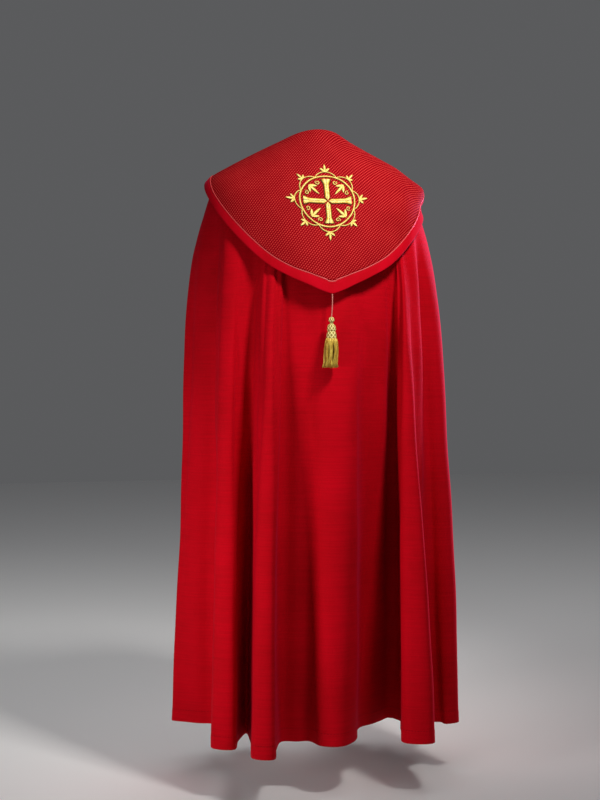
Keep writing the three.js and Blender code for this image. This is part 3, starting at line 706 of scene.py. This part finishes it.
def make_brocade_finish(name):
    """A satin ground with slanting rows of short raised dashes, and painted shade between the rows."""
    constants = dict(Specular_IOR_Level=0.02, Sheen_Weight=0.01, Sheen_Roughness=0.4)
    finish = Finish(name, 0.6, Sheen_Tint=MANTLE_SHEEN_TINT, **constants)
    across, up, place = finish.surface()
    turn_cos, turn_sin = cos(BROCADE_ROW_ANGLE), sin(BROCADE_ROW_ANGLE)
    over_rows = (up * turn_cos - across * turn_sin) / BROCADE_ROW_PITCH
    down_row = (across * turn_cos + up * turn_sin) / BROCADE_DASH_PITCH
    row = over_rows.wave()
    half_step = over_rows.math("FLOOR").math("MODULO", 2.0) * 0.5
    dash = (down_row + half_step).wave()
    wear = finish.noise(place, 14.0, 3.0, 0.6)
    stitch = row.between(0.5, 0.85) * (0.1 + 0.9 * dash.between(0.35, 0.65))
    # The ground gets painted shade between the raised rows, and a darker tone at random where the wear
    # noise is low.
    ground = finish.mix(0.35 + 0.3 * wear - 0.3 * (1 - row), BROCADE_WEAR_AND_SHADE, BROCADE_GROUND)
    finish.color(finish.mix(stitch * (0.25 + 0.5 * wear), ground, BROCADE_DASH))
    finish.rough(0.72 - 0.15 * stitch)
    finish.bump(stitch + row * 0.2 + wear * 0.2, 0.0003, 0.6)
    return finish


def make_band(name, node, grid, above_hem, mirrored):
    """The strip of the mantle's own surface next to a front edge, moved out, with rounded sides."""
    if mirrored:
        grid = grid[:, ::-1]
    along = lengths_along(grid)
    width = np.interp(mantle_rows(), BAND_WIDTHS["ring"], BAND_WIDTHS["width"])
    across = width[:, None] * np.linspace(0, 1, BAND_COLUMNS)[None, :]
    strip = np.stack(
        [
            [np.interp(at, reached, points[:, k]) for at, reached, points in zip(across, along, grid)]
            for k in range(3)
        ],
        -1,
    )
    height = np.repeat(above_hem[:, :1], BAND_COLUMNS, 1)
    if mirrored:
        strip, across = strip[:, ::-1], across[:, ::-1]
    normals = outward_normals(strip)
    rounding = BAND_ROUNDING * (1 - np.cos(np.linspace(-pi / 2, pi / 2, BAND_COLUMNS)) ** 0.3)
    outer = strip + (BAND_OVER_MANTLE + BAND_WALL - rounding[None, :, None]) * normals
    uv = stacked(across, height)
    finish = make_brocade_finish(name + "_brocade")
    band = cloth_wall(name, outer, strip + BAND_OVER_MANTLE * normals, uv, finish)
    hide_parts(node)
    cloth_area(outer)


make_band("front_band_left_sewn", "front_band_left", mantle_grid, mantle_above_hem, False)
make_band("front_band_right_sewn", "front_band_right", mantle_grid, mantle_above_hem[:, ::-1], True)


# The hood's panel
# A stiff shield of brocade that lies over both shoulders, stands off the back and ends in a point.
# Only its neck edge is sewn to the mantle.
HOOD_WALL = 0.0018
HOOD_HALF_ANGLE = 125
HOOD_COLUMNS = 301
HOOD_ROWS = 84
HOOD_NECK_RADIUS = 0.095
HOOD_FLAT_SAMPLES = 501
BORDER_WIDTH = 0.023
PIPING_WIDTH = 0.0024
TIP_BEND = 2.2
HOOD_RINGS = table(
    "reach  side_x  side_z  back_y  back_z  front_y  front_z",
    [
        (0.000, 0.074, 0.010, 0.070, 0.0285, 0.084, -0.020),
        (0.040, 0.110, -0.007, 0.091, -0.005, 0.104, -0.050),
        (0.090, 0.154, -0.029, 0.114, -0.045, 0.124, -0.086),
        (0.150, 0.207, -0.057, 0.141, -0.098, 0.142, -0.138),
        (0.200, 0.250, -0.083, 0.161, -0.144, 0.154, -0.182),
        (0.240, 0.272, -0.114, 0.176, -0.181, 0.161, -0.218),
        (0.290, 0.281, -0.160, 0.190, -0.229, 0.168, -0.262),
        (0.340, 0.286, -0.209, 0.201, -0.278, 0.174, -0.308),
        (0.390, 0.289, -0.259, 0.209, -0.327, 0.180, -0.352),
        (0.430, 0.291, -0.298, 0.214, -0.366, 0.184, -0.388),
    ],
)
HOOD_EDGE = table(
    "angle  left  right",
    [
        (0, 0.426, 0.426),
        (10, 0.407, 0.407),
        (20, 0.393, 0.393),
        (30, 0.375, 0.377),
        (40, 0.350, 0.354),
        (50, 0.322, 0.329),
        (60, 0.293, 0.304),
        (70, 0.265, 0.281),
        (80, 0.241, 0.260),
        (90, 0.223, 0.242),
        (100, 0.210, 0.226),
        (112, 0.199, 0.211),
        (HOOD_HALF_ANGLE, 0.191, 0.199),
    ],
)

# Soft bulges and hollows of the hood: angle and reach of each one's middle, its height and spread.
# The first two are the round corner over the right shoulder and the buckled border below it.
HOOD_BULGES = table(
    "angle  reach  height  angle_spread  reach_spread",
    [
        (-80, 0.210, 0.0120, 15, 0.022),
        (-76, 0.268, -0.0130, 11, 0.020),
        (40, 0.290, -0.0030, 14, 0.10),
        (18, 0.330, 0.0025, 10, 0.09),
        (-16, 0.300, -0.0020, 9, 0.11),
        (-36, 0.260, 0.0035, 12, 0.10),
        (-58, 0.200, -0.0045, 9, 0.08),
        (-80, 0.150, 0.0030, 14, 0.06),
        (62, 0.180, 0.0030, 16, 0.08),
        (-4, 0.080, -0.0015, 24, 0.04),
    ],
)


def place_in(columns, key, value):
    """The place in a table, in rows, where its key column has a value."""
    return np.interp(value, columns[key], np.arange(len(columns[key])))


def hood_point(angle, reach):
    """The hood's outer face, by angle from the back's middle and reach from the neckline: a ring's
    point, pushed outwards by the sum of the bulges, each a bell in angle and in reach."""
    angle, reach = np.broadcast_arrays(np.asarray(angle, float), np.asarray(reach, float))
    points = ring_point(HOOD_RINGS, place_in(HOOD_RINGS, "reach", reach), angle)
    out = np.zeros(reach.shape)
    for at_angle, at_reach, height, angle_spread, reach_spread in zip(*HOOD_BULGES.values()):
        out += height * np.exp(
            -(((angle - at_angle) / angle_spread) ** 2) - ((reach - at_reach) / reach_spread) ** 2
        )
    flat = np.hypot(points[..., 0], points[..., 1])
    points[..., :2] *= (1 + out / flat)[..., None]
    return lower_right_shoulder(points)


def hood_normal(angle, reach):
    """The outward direction there, from steps of 1 degree and 1 mm."""
    down = hood_point(angle, reach + 0.001) - hood_point(angle, np.maximum(reach - 0.001, 0))
    along = hood_point(angle - 1, reach) - hood_point(angle + 1, reach)
    normal = np.cross(down, along)
    return normal / np.linalg.norm(normal, axis=-1, keepdims=True)


def hood_edge_reach(angle):
    """The reach of the hood's edge: straight near the tip, and smooth elsewhere."""
    place = place_in(HOOD_EDGE, "angle", np.abs(angle))
    left, right = (
        np.where(
            place < 1,
            HOOD_EDGE[side][0] + (HOOD_EDGE[side][1] - HOOD_EDGE[side][0]) * place,
            read_column(HOOD_EDGE, side, place),
        )
        for side in ("left", "right")
    )
    return np.where(angle > 0, left, right)


def hood_inset_reach(angle, inset):
    """The reach of a line that keeps its distance inwards from the hood's edge, and turns at the
    tip in a small round bend instead of the edge's point."""
    bend = TIP_BEND * inset / BORDER_WIDTH
    reach = hood_edge_reach(np.where(angle > 0, 1, -1) * np.hypot(angle, bend))
    slope = (hood_edge_reach(angle + 1) - hood_edge_reach(angle - 1)) / 2
    width = np.linalg.norm(hood_point(angle + 1, reach) - hood_point(angle - 1, reach), axis=-1) / 2
    lean = np.where(np.abs(angle) < 2, 0, slope / width)
    return reach - inset * np.hypot(1, lean)


def hood_flat(angle, reach):
    """The hood laid flat, as it is cut: the length round each ring becomes an arc about the neck."""
    fine = np.linspace(-HOOD_HALF_ANGLE, HOOD_HALF_ANGLE, HOOD_FLAT_SAMPLES)
    around = lengths_along(hood_point(fine[None, :], HOOD_RINGS["reach"][:, None]))
    from_middle = around - around[:, HOOD_FLAT_SAMPLES // 2, None]
    of_ring = np.stack([np.interp(angle, fine, row) for row in from_middle])
    place = place_in(HOOD_RINGS, "reach", reach)
    low = np.minimum(place.astype(int), len(of_ring) - 2)
    t = place - low
    first = np.take_along_axis(of_ring, low[None], 0)[0]
    second = np.take_along_axis(of_ring, low[None] + 1, 0)[0]
    radius = HOOD_NECK_RADIUS + reach
    turn = -(first + (second - first) * t) / radius
    return stacked(radius * np.sin(turn), -radius * np.cos(turn))


def make_hood_panel():
    angle = np.linspace(HOOD_HALF_ANGLE, -HOOD_HALF_ANGLE, HOOD_COLUMNS)[None, :]
    edge = hood_inset_reach(angle, BORDER_WIDTH + PIPING_WIDTH)
    reach = edge * np.linspace(0, 1, HOOD_ROWS)[:, None]
    angle = np.broadcast_to(angle, reach.shape)
    outer = hood_point(angle, reach)
    inner = outer - HOOD_WALL * hood_normal(angle, reach)
    uv = hood_flat(angle, reach)
    finish = make_brocade_finish("hood_brocade")
    panel = cloth_wall("hood_panel_brocade", outer, inner, uv, finish)
    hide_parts("hood_panel")
    return panel, cloth_area(outer)


hood_panel, hood_area = make_hood_panel()


# The hood's border and piping
# A plain bright red band, folded over the hood's edge and stitched, and between it and the panel a
# thin round cord covered in light satin.
EDGE_COLUMNS = 421
BORDER_COLOR = (0.54, 0.0, 0.01)
BORDER_DEEP_COLOR = (0.45, 0.0, 0.006)
BORDER_STITCH_COLOR = (0.3, 0.002, 0.008)
BORDER_THICKNESS = 0.0032
BORDER_DROP = 0.0002
BORDER_LOOP_POINTS = 22
STITCH_LENGTH = 0.0045
STITCH_INSET = 0.003
PIPING_COLOR = (0.7, 0.05, 0.05)
PIPING_SHADE_COLOR = (0.5, 0.02, 0.03)
PIPING_RADIUS = 0.0014
PIPING_LIFT = 0.0002
PIPING_LOOP_POINTS = 10
PIPING_TWIST_PITCH = 0.003


def edge_strip(name, loop, node, finish):
    """A closed strip round the hood: a loop of insets and lifts carried along the hood's edge."""
    angle = np.linspace(HOOD_HALF_ANGLE, -HOOD_HALF_ANGLE, EDGE_COLUMNS)[:, None]
    inset, lift = loop[None, :, 0], loop[None, :, 1]
    reach = hood_inset_reach(angle, inset)
    angle = np.broadcast_to(angle, reach.shape)
    points = hood_point(angle, reach) + lift[..., None] * hood_normal(angle, reach)
    along = lengths_along(points[:, :1].transpose(1, 0, 2))[0][:, None]
    faces = tube_faces(EDGE_COLUMNS, len(loop))
    strip = new_piece(name, points, faces, stacked(along, inset), finish)
    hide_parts(node)
    return strip


def make_stitched_wool(name, line_and_length, stitch_share, stitch_color):
    """The border's plain wool with a row of stitches. line_and_length turns the piece's two UV
    numbers into the distance from the row and the place along it."""
    finish = make_wool(name)
    along, across, place = finish.surface()
    slubs = finish.streaks(along * 120, across * 400, 3.0, 0.6)
    cloud = finish.noise(place, 16.0, 3.0, 0.6)
    from_line, along_line = line_and_length(along, across)
    line = from_line.stitch_line()
    stitch = along_line.wave(STITCH_LENGTH).between(0.3, 0.5)
    cloth = finish.mix(cloud.between(0.3, 0.7), BORDER_DEEP_COLOR, BORDER_COLOR)
    finish.color(finish.mix(line * stitch * stitch_share, cloth, stitch_color))
    finish.bump(slubs - line * (0.6 + stitch), 0.0003, 0.7)
    return finish


def make_piping_finish():
    finish = Finish("satin_piping", 0.45, Sheen_Weight=0.05)
    along, _, _ = finish.surface()
    twist = along.wave(PIPING_TWIST_PITCH)
    finish.color(finish.mix(twist, PIPING_SHADE_COLOR, PIPING_COLOR))
    finish.bump(twist, 0.0002, 0.6)
    return finish


def border_row(along, inset):
    """The border's stitches run near its inner edge."""
    return inset - (BORDER_WIDTH - STITCH_INSET), along


def make_border():
    turn = np.linspace(0, 2 * pi, BORDER_LOOP_POINTS, endpoint=False)
    square_cos = np.sign(np.cos(turn)) * np.abs(np.cos(turn)) ** 0.35
    square_sin = np.sign(np.sin(turn)) * np.abs(np.sin(turn)) ** 0.6
    lift = -BORDER_DROP - BORDER_THICKNESS / 2 * square_sin
    loop = stacked(BORDER_WIDTH / 2 * (1 + square_cos), lift)
    finish = make_stitched_wool("border_wool", border_row, 0.35, BORDER_STITCH_COLOR)
    return edge_strip("hood_border_folded", loop, "hood_border", finish)


def make_piping():
    turn = np.linspace(0, 2 * pi, PIPING_LOOP_POINTS, endpoint=False)
    middle = BORDER_WIDTH + PIPING_WIDTH / 2
    loop = stacked(middle + PIPING_RADIUS * np.cos(turn), PIPING_LIFT - PIPING_RADIUS * np.sin(turn))
    return edge_strip("hood_piping_satin", loop, "hood_piping", make_piping_finish())


hood_border = make_border()
hood_piping = make_piping()


# The embroidery
# A gold cross and a leafy wreath round it, in satin stitch laid over padding, sewn on the hood. The
# stitches run across each stroke, and the cross's arms have a crease down their middle.
EMBLEM_REACH = 0.205
EMBLEM_LIFT = 0.0003
STROKE_HEIGHT = 0.0024
CROSS_HEIGHT = 0.0032
CROSS_START = 0.0015
CROSS_ARM = 0.057
CROSS_WAIST = 0.0145
CROSS_END = 0.027
WREATH_RADIUS = 0.065
WREATH_WIDTH = 0.0052
BOW_RADIUS = 0.077
BOW_WIDTH = 0.0036
BOWS = 8
HEART_DISTANCE = 0.058
CURL_DISTANCE = 0.0525
CURL_RADIUS = 0.0056
STROKE_POINTS = 9
STITCH_PITCH = 0.0013
GOLD_COLOR = (0.94, 0.53, 0.03)
GOLD_HIGHLIGHT_COLOR = (1.0, 0.96, 0.3)
GOLD_SHADE_COLOR = (0.13, 0.03, 0.002)

# Each quarter of the wreath has three sprays of three leaves: the distance and the turn of a spray's
# foot, where its middle leaf points, the leaves' width, the lengths of the middle and the side
# leaves, and the angle between them.
SPRAYS = (
    (BOW_RADIUS, 0, 0, 0.0068, 0.021, 0.015, 50),
    (BOW_RADIUS, 45, 45, 0.0066, 0.018, 0.012, 58),
    (HEART_DISTANCE, 45, 225, 0.0078, 0.032, 0.019, 40),
)

# Each quarter also has two curls: the turn of a curl's middle, where it starts, and how far it winds.
CURLS = ((23, 60, 1.1), (67, 30, -1.1))


def on_emblem(right, up, lift):
    """A place on the hood by flat measures to the right of and above the emblem's middle."""
    reach = EMBLEM_REACH - up
    side_x = read_column(HOOD_RINGS, "side_x", place_in(HOOD_RINGS, "reach", reach))
    angle = -np.degrees(np.arcsin(right / side_x))
    return hood_point(angle, reach) + lift[..., None] * hood_normal(angle, reach)


def stroke(path, width, crease=0.0, height=STROKE_HEIGHT):
    """A padded stroke along a flat path of [n, 2] points with a width at each: its section is a low
    arch, with a crease down the middle if asked, closed by a flat underside."""
    along = np.gradient(path, axis=0)
    along /= np.linalg.norm(along, axis=1, keepdims=True)
    side = stacked(-along[:, 1], along[:, 0])
    across = np.linspace(-1, 1, STROKE_POINTS)
    arch = (1 - np.abs(across) ** 2.6) * (1 - crease * np.exp(-((across / 0.22) ** 2)))
    low = np.minimum(1, np.asarray(width) / 0.004)
    lift = EMBLEM_LIFT + height * low[:, None] * arch[None, :]
    flat = path[:, None] + (width / 2)[:, None, None] * across[None, :, None] * side[:, None]
    top = on_emblem(flat[..., 0], flat[..., 1], lift)
    under = on_emblem(flat[:, ::-1, 0], flat[:, ::-1, 1], np.full(lift.shape, EMBLEM_LIFT / 2))
    length = lengths_along(path[None])[0][:, None]
    uv = stacked(length, np.concatenate([across, across[::-1]]))
    return np.concatenate([top, under], 1), uv


def make_strokes(name, strokes, node, finish):
    points, faces, uv, start = [], [], [], 0
    for ring_points, ring_uv in strokes:
        rows, columns = ring_points.shape[:2]
        faces += [[start + k for k in face[::-1]] for face in tube_faces(rows, columns)]
        points.append(ring_points.reshape(-1, 3))
        uv.append(ring_uv.reshape(-1, 2))
        start += rows * columns
    piece = new_piece(name, np.concatenate(points), faces, np.concatenate(uv), finish)
    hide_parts(node)
    return piece


def make_gold_finish(name, slant, groove):
    """Gold thread in satin stitch: fine ridges across the stroke, with painted shade at its sides,
    between the stitches and, where it has a groove down its middle, there too, and a painted highlight
    along its crown and in random streaky patches."""
    finish = Finish(name, 0.3, Metallic=0.2, Specular_IOR_Level=0.7)
    length, across, _ = finish.surface()
    side = across.math("ABSOLUTE")
    stitch = (length + side * slant).wave(STITCH_PITCH)
    tone = finish.streaks(length * 110, across * 1.2, 3.0, 0.6)
    crown_highlight = 1 - side.between(0.1, 0.6)
    # Painted highlight: the thread is lightened along the stroke's crown and in random streaky patches.
    light = finish.mix(tone.between(0.38, 0.62) * 0.6 + crown_highlight * 0.4, GOLD_COLOR, GOLD_HIGHLIGHT_COLOR)
    # Painted shade at the stroke's sides, in its middle groove and between the stitches.
    edges = side.between(0.5, 0.9) * 0.95 + (1 - side.between(0.05, 0.2)) * groove
    shade = (edges + (1 - stitch) * 0.2).math("MINIMUM", 1.0)
    finish.color(finish.mix(shade, light, GOLD_SHADE_COLOR))
    finish.rough(0.3 + 0.2 * tone)
    finish.bump(stitch, 0.0003, 0.8)
    return finish


def turned(path, angle):
    c, s = cos(radians(angle)), sin(radians(angle))
    return path @ np.array([[c, s], [-s, c]])


def make_cross():
    t = np.linspace(0, 1, 40)
    arm = stacked(CROSS_START + (CROSS_ARM - CROSS_START) * t, 0)
    width = CROSS_WAIST + (CROSS_END - CROSS_WAIST) * smooth_step(t, 0.66, 1) ** 1.6
    width *= np.clip(t / 0.13, 0.05, 1)
    arms = [stroke(turned(arm, angle), width, 0.35, CROSS_HEIGHT) for angle in (0, 90, 180, 270)]
    finish = make_gold_finish("cross_gold_thread", slant=0.0022, groove=0.6)
    return make_strokes("emblem_cross_stitched", arms, "emblem_cross", finish)


def leaf(foot, angle, length, widest):
    """A pointed leaf from a foot, widest before its middle."""
    t = np.linspace(0, 1, 14)
    path = foot + turned(stacked(length * t, 0), angle)
    width = 0.0007 + widest * np.sin(pi * np.clip(0.1 + 0.9 * t, 0, 1) ** 1.1) ** 0.9
    return stroke(path, width, crease=0.45)


def polar(radius, angle):
    return stacked(radius * np.cos(np.radians(angle)), radius * np.sin(np.radians(angle)))


def spray(foot, facing, widest, middle, side, spread):
    """Three leaves from one foot."""
    leaves = ((0, middle), (spread, side), (-spread, side))
    return [leaf(foot, facing + turn, length, widest) for turn, length in leaves]


def curl(centre, start, turns, radius):
    """A small spiral that tightens as it turns."""
    t = np.linspace(0, 1, 26)
    spiral = polar(radius * (1 - 0.72 * t), start + 360 * turns * t)
    return stroke(centre + spiral, 0.0026 + 0.0008 * np.sin(pi * t))


def make_wreath():
    t = np.linspace(0, 1, 121)
    strokes = [stroke(polar(WREATH_RADIUS, 360 * t), np.full(t.shape, WREATH_WIDTH))]
    t = np.linspace(0, 1, 25)
    bow = WREATH_RADIUS + (BOW_RADIUS - WREATH_RADIUS) * np.sin(pi * t) ** 0.7
    for k in range(BOWS):
        strokes.append(stroke(polar(bow, 360 / BOWS * (k + t - 0.5)), np.full(t.shape, BOW_WIDTH)))
    for quarter in (0, 90, 180, 270):
        for distance, turn, facing, *leaves in SPRAYS:
            strokes += spray(polar(distance, quarter + turn), quarter + facing, *leaves)
        for turn, start, turns in CURLS:
            centre = polar(CURL_DISTANCE, quarter + turn)
            strokes.append(curl(centre, quarter + start, turns, CURL_RADIUS))
    finish = make_gold_finish("wreath_gold_thread", slant=0.0, groove=0.15)
    return make_strokes("emblem_wreath_stitched", strokes, "emblem_wreath", finish)


emblem_cross = make_cross()
emblem_wreath = make_wreath()


# The breast strap
# A short double tab of the border's cloth that holds the fronts together below the neck opening,
# edged with a row of stitches.
STRAP_TOP_RING = 5.3
STRAP_BOTTOM_RING = 6.45
STRAP_HALF_ANGLE = 17
STRAP_LIFT = 0.0034
STRAP_WALL = 0.0024
STRAP_PUFF = 0.0012
STRAP_PUFF_EDGE = 0.004
STRAP_SIZE = (0.16, 0.06)
STRAP_HALF_HEIGHT = 0.029
STRAP_STITCHES = (STRAP_SIZE[0] / 2 - STITCH_INSET, STRAP_HALF_HEIGHT - STITCH_INSET)
STRAP_STITCH_COLOR = (0.28, 0.002, 0.008)
STRAP_ROWS = 26
STRAP_COLUMNS = 60


def strap_row(across, up):
    """The strap's stitches run round it, near its edges."""
    from_end = (across.math("ABSOLUTE") - STRAP_STITCHES[0]).math("ABSOLUTE")
    from_side = (up.math("ABSOLUTE") - STRAP_STITCHES[1]).math("ABSOLUTE")
    return from_side.math("MINIMUM", from_end), across + up


def make_strap():
    row = np.linspace(0, 1, STRAP_ROWS)[:, None]
    column = np.linspace(0, 1, STRAP_COLUMNS)[None, :]
    place = STRAP_TOP_RING + (STRAP_BOTTOM_RING - STRAP_TOP_RING) * row
    angle = 180 + STRAP_HALF_ANGLE * (1 - 2 * column)
    surface = ring_point(MANTLE_RINGS, *np.broadcast_arrays(place, angle))
    normals = outward_normals(surface)
    from_end, from_side = (
        np.minimum(share, 1 - share) * size for share, size in zip((column, row), STRAP_SIZE)
    )
    flattening = STRAP_PUFF * (1 - smooth_step(np.minimum(from_side, from_end), 0, STRAP_PUFF_EDGE))
    outer = surface + (STRAP_LIFT + STRAP_WALL - flattening)[..., None] * normals
    inner = surface + STRAP_LIFT * normals
    across = lengths_along(surface) - lengths_along(surface)[:, -1:] / 2
    uv = stacked(across, STRAP_HALF_HEIGHT * (1 - 2 * row))
    finish = make_stitched_wool("strap_wool", strap_row, 0.4, STRAP_STITCH_COLOR)
    strap = cloth_wall("breast_strap_stitched", outer, inner, uv, finish)
    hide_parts("breast_strap")
    cloth_area(outer)


make_strap()


# The tassel
# A small wound ball, a head covered in a net of gold thread over its mould, and a skirt of loose
# gold threads that all start under the head.
KNOB_RADIUS = 0.007
HEAD_LENGTH = 0.037
SKIRT_LENGTH = 0.064
STRAND_RADIUS = 0.0008
STRAND_RINGS = table(
    "count  root  end",
    [(60, 0.0116, 0.0158), (48, 0.0096, 0.0130), (34, 0.0070, 0.0098), (20, 0.0040, 0.0056)],
)
SKIRT_SEED = 7
STRAND_STEPS = 9
STRAND_SIDES = 4
TASSEL_LEAN = np.array([0.0030, 0.0, 0.0])
TASSEL_GAP = 0.0003
HEAD_INSIDE_BALL = 0.0028
SKIRT_INSIDE_HEAD = 0.003
LOCKS = 9
LOCK_GATHER = 0.42
NET_CELLS = 8
NET_CELL_HEIGHT = 0.0105
NET_THREAD_PITCH = 0.0011
FRINGE_TWIST_PITCH = 0.0022
HEAD_PROFILE = table(
    "down  radius",
    [
        (0, 0.0034),
        (0.08, 0.0040),
        (0.17, 0.0078),
        (0.30, 0.0098),
        (0.44, 0.0103),
        (0.53, 0.0088),
        (0.62, 0.0106),
        (0.80, 0.0116),
        (0.93, 0.0120),
        (1, 0.0112),
    ],
)
NET_COLOR = (1.0, 0.9, 0.34)
NET_SHADE_COLOR = (0.34, 0.22, 0.04)
SKIRT_COLOR = (0.52, 0.27, 0.012)
SKIRT_LIGHT_COLOR = (1.0, 0.8, 0.14)
SKIRT_SHADE_COLOR = (0.16, 0.06, 0.004)


def make_wound_finish():
    finish = Finish("netted_gold", 0.4, Metallic=0.15)
    turn, height, _ = finish.surface()
    left = (turn * NET_CELLS + height / NET_CELL_HEIGHT).wave()
    right = (turn * NET_CELLS - height / NET_CELL_HEIGHT).wave()
    net = left.math("MAXIMUM", right).between(0.6, 0.95)
    fine = height.wave(NET_THREAD_PITCH)
    finish.color(finish.mix(net, NET_SHADE_COLOR, NET_COLOR))
    finish.bump(net * 1.5 + fine * 0.4, 0.0006, 0.9)
    return finish


def make_skirt_finish():
    finish = Finish("gold_fringe", 0.4, Metallic=0.2)
    strand, length, _ = finish.surface()
    tone = finish.streaks(strand * 700, length * 30, 2.0, 0.5)
    twist = (length / FRINGE_TWIST_PITCH + strand * 50).wave()
    light = finish.mix(tone.between(0.35, 0.65), SKIRT_COLOR, SKIRT_LIGHT_COLOR)
    finish.color(finish.mix((1 - twist) * 0.35, light, SKIRT_SHADE_COLOR))
    finish.bump(twist, 0.0002, 0.6)
    return finish


def wound_form(profile, sides):
    """A turned form from radii and heights, whose first and last rings close to small caps."""
    turn = np.linspace(0, 2 * pi, sides, endpoint=False)[None, :]
    radius, height = profile[:, :1], profile[:, 1:]
    ridges = radius * (1 + 0.02 * np.cos(12 * turn))
    points = stacked(ridges * np.cos(turn), ridges * np.sin(turn), height)
    return points, tube_faces(len(profile), sides), stacked(turn / (2 * pi), height)


def make_skirt(foot, head_bottom):
    """The threads hang from rings under the head. They are drawn into locks half way down, swell a
    little, wander, and curl out at their ends."""
    random = np.random.default_rng(SKIRT_SEED)
    counts = STRAND_RINGS["count"].astype(int)
    angles = [2 * pi * (np.arange(n) + 0.5 * k) / n for k, n in enumerate(counts)]
    angle = np.concatenate(angles)[:, None]
    root, end = (np.repeat(STRAND_RINGS[key], counts)[:, None] for key in ("root", "end"))
    count = len(angle)
    t = np.linspace(0, 1, STRAND_STEPS)[None, :]
    wander = random.normal(0, 1, (count, 4))
    lock = 2 * pi / LOCKS
    lock_middle = (np.round(angle / lock) * lock + 0.1 * np.sin(9 * np.round(angle / lock))) - angle
    gathered = LOCK_GATHER * np.sin(pi * np.clip(t, 0, 0.9)) ** 2
    curl_out = 0.0016 * np.clip((t - 0.86) / 0.14, 0, 1) ** 2 * np.abs(wander[:, 3:4])
    radius = root + (end - root) * t**0.8 + 0.0022 * np.sin(pi * t**0.6) + curl_out
    spin = angle + gathered * lock_middle + 0.05 * wander[:, :1] * t
    length = SKIRT_LENGTH - 0.0015 + 0.0018 * wander[:, 2:3]
    drop = head_bottom + SKIRT_INSIDE_HEAD - (length + SKIRT_INSIDE_HEAD) * t
    centre = stacked(radius * np.cos(spin), radius * np.sin(spin), drop)
    centre += TASSEL_LEAN * (t**1.5)[..., None] + 0.0004 * np.sin(9 * t + wander[:, 3:4] * 6)[..., None]
    side = np.linspace(0, 2 * pi, STRAND_SIDES, endpoint=False)
    thick = STRAND_RADIUS * (1 - 0.25 * t)[..., None]
    x, y, z = np.moveaxis(centre, -1, 0)[..., None]
    rings = stacked(x + thick * np.cos(side), y + thick * np.sin(side), z)
    strand_faces = np.array(tube_faces(STRAND_STEPS, STRAND_SIDES))
    starts = np.arange(count)[:, None, None] * STRAND_STEPS * STRAND_SIDES
    number = np.arange(count)[:, None, None] / count
    uv = stacked(number, np.repeat((length * t)[..., None], STRAND_SIDES, -1))
    faces = (strand_faces[None] + starts).reshape(-1, 4)
    return new_piece("tassel_skirt", rings + foot, faces, uv, make_skirt_finish())


def make_tassel():
    foot = tassel_top - np.array([0, 0, TASSEL_GAP])
    head_top = -2 * KNOB_RADIUS - 0.001
    swing = np.linspace(-pi / 2 + 0.08, pi / 2 - 0.08, 15)[::-1]
    ball = stacked(KNOB_RADIUS * np.cos(swing), KNOB_RADIUS * (np.sin(swing) - 1))
    down = np.linspace(0, 1, 40)
    swell = read_column(HEAD_PROFILE, "radius", place_in(HEAD_PROFILE, "down", down))
    head = stacked(swell, head_top + HEAD_INSIDE_BALL - (HEAD_LENGTH + HEAD_INSIDE_BALL) * down)
    netted = make_wound_finish()
    pieces = []
    for name, profile in (("tassel_ball", ball), ("tassel_head", head)):
        points, faces, uv = wound_form(profile, 48)
        pieces.append(new_piece(name, points + foot, faces, uv, netted))
    pieces.append(make_skirt(foot, head_top - HEAD_LENGTH))
    for piece in pieces:
        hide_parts("tassel")
    return pieces


tassel_pieces = make_tassel()
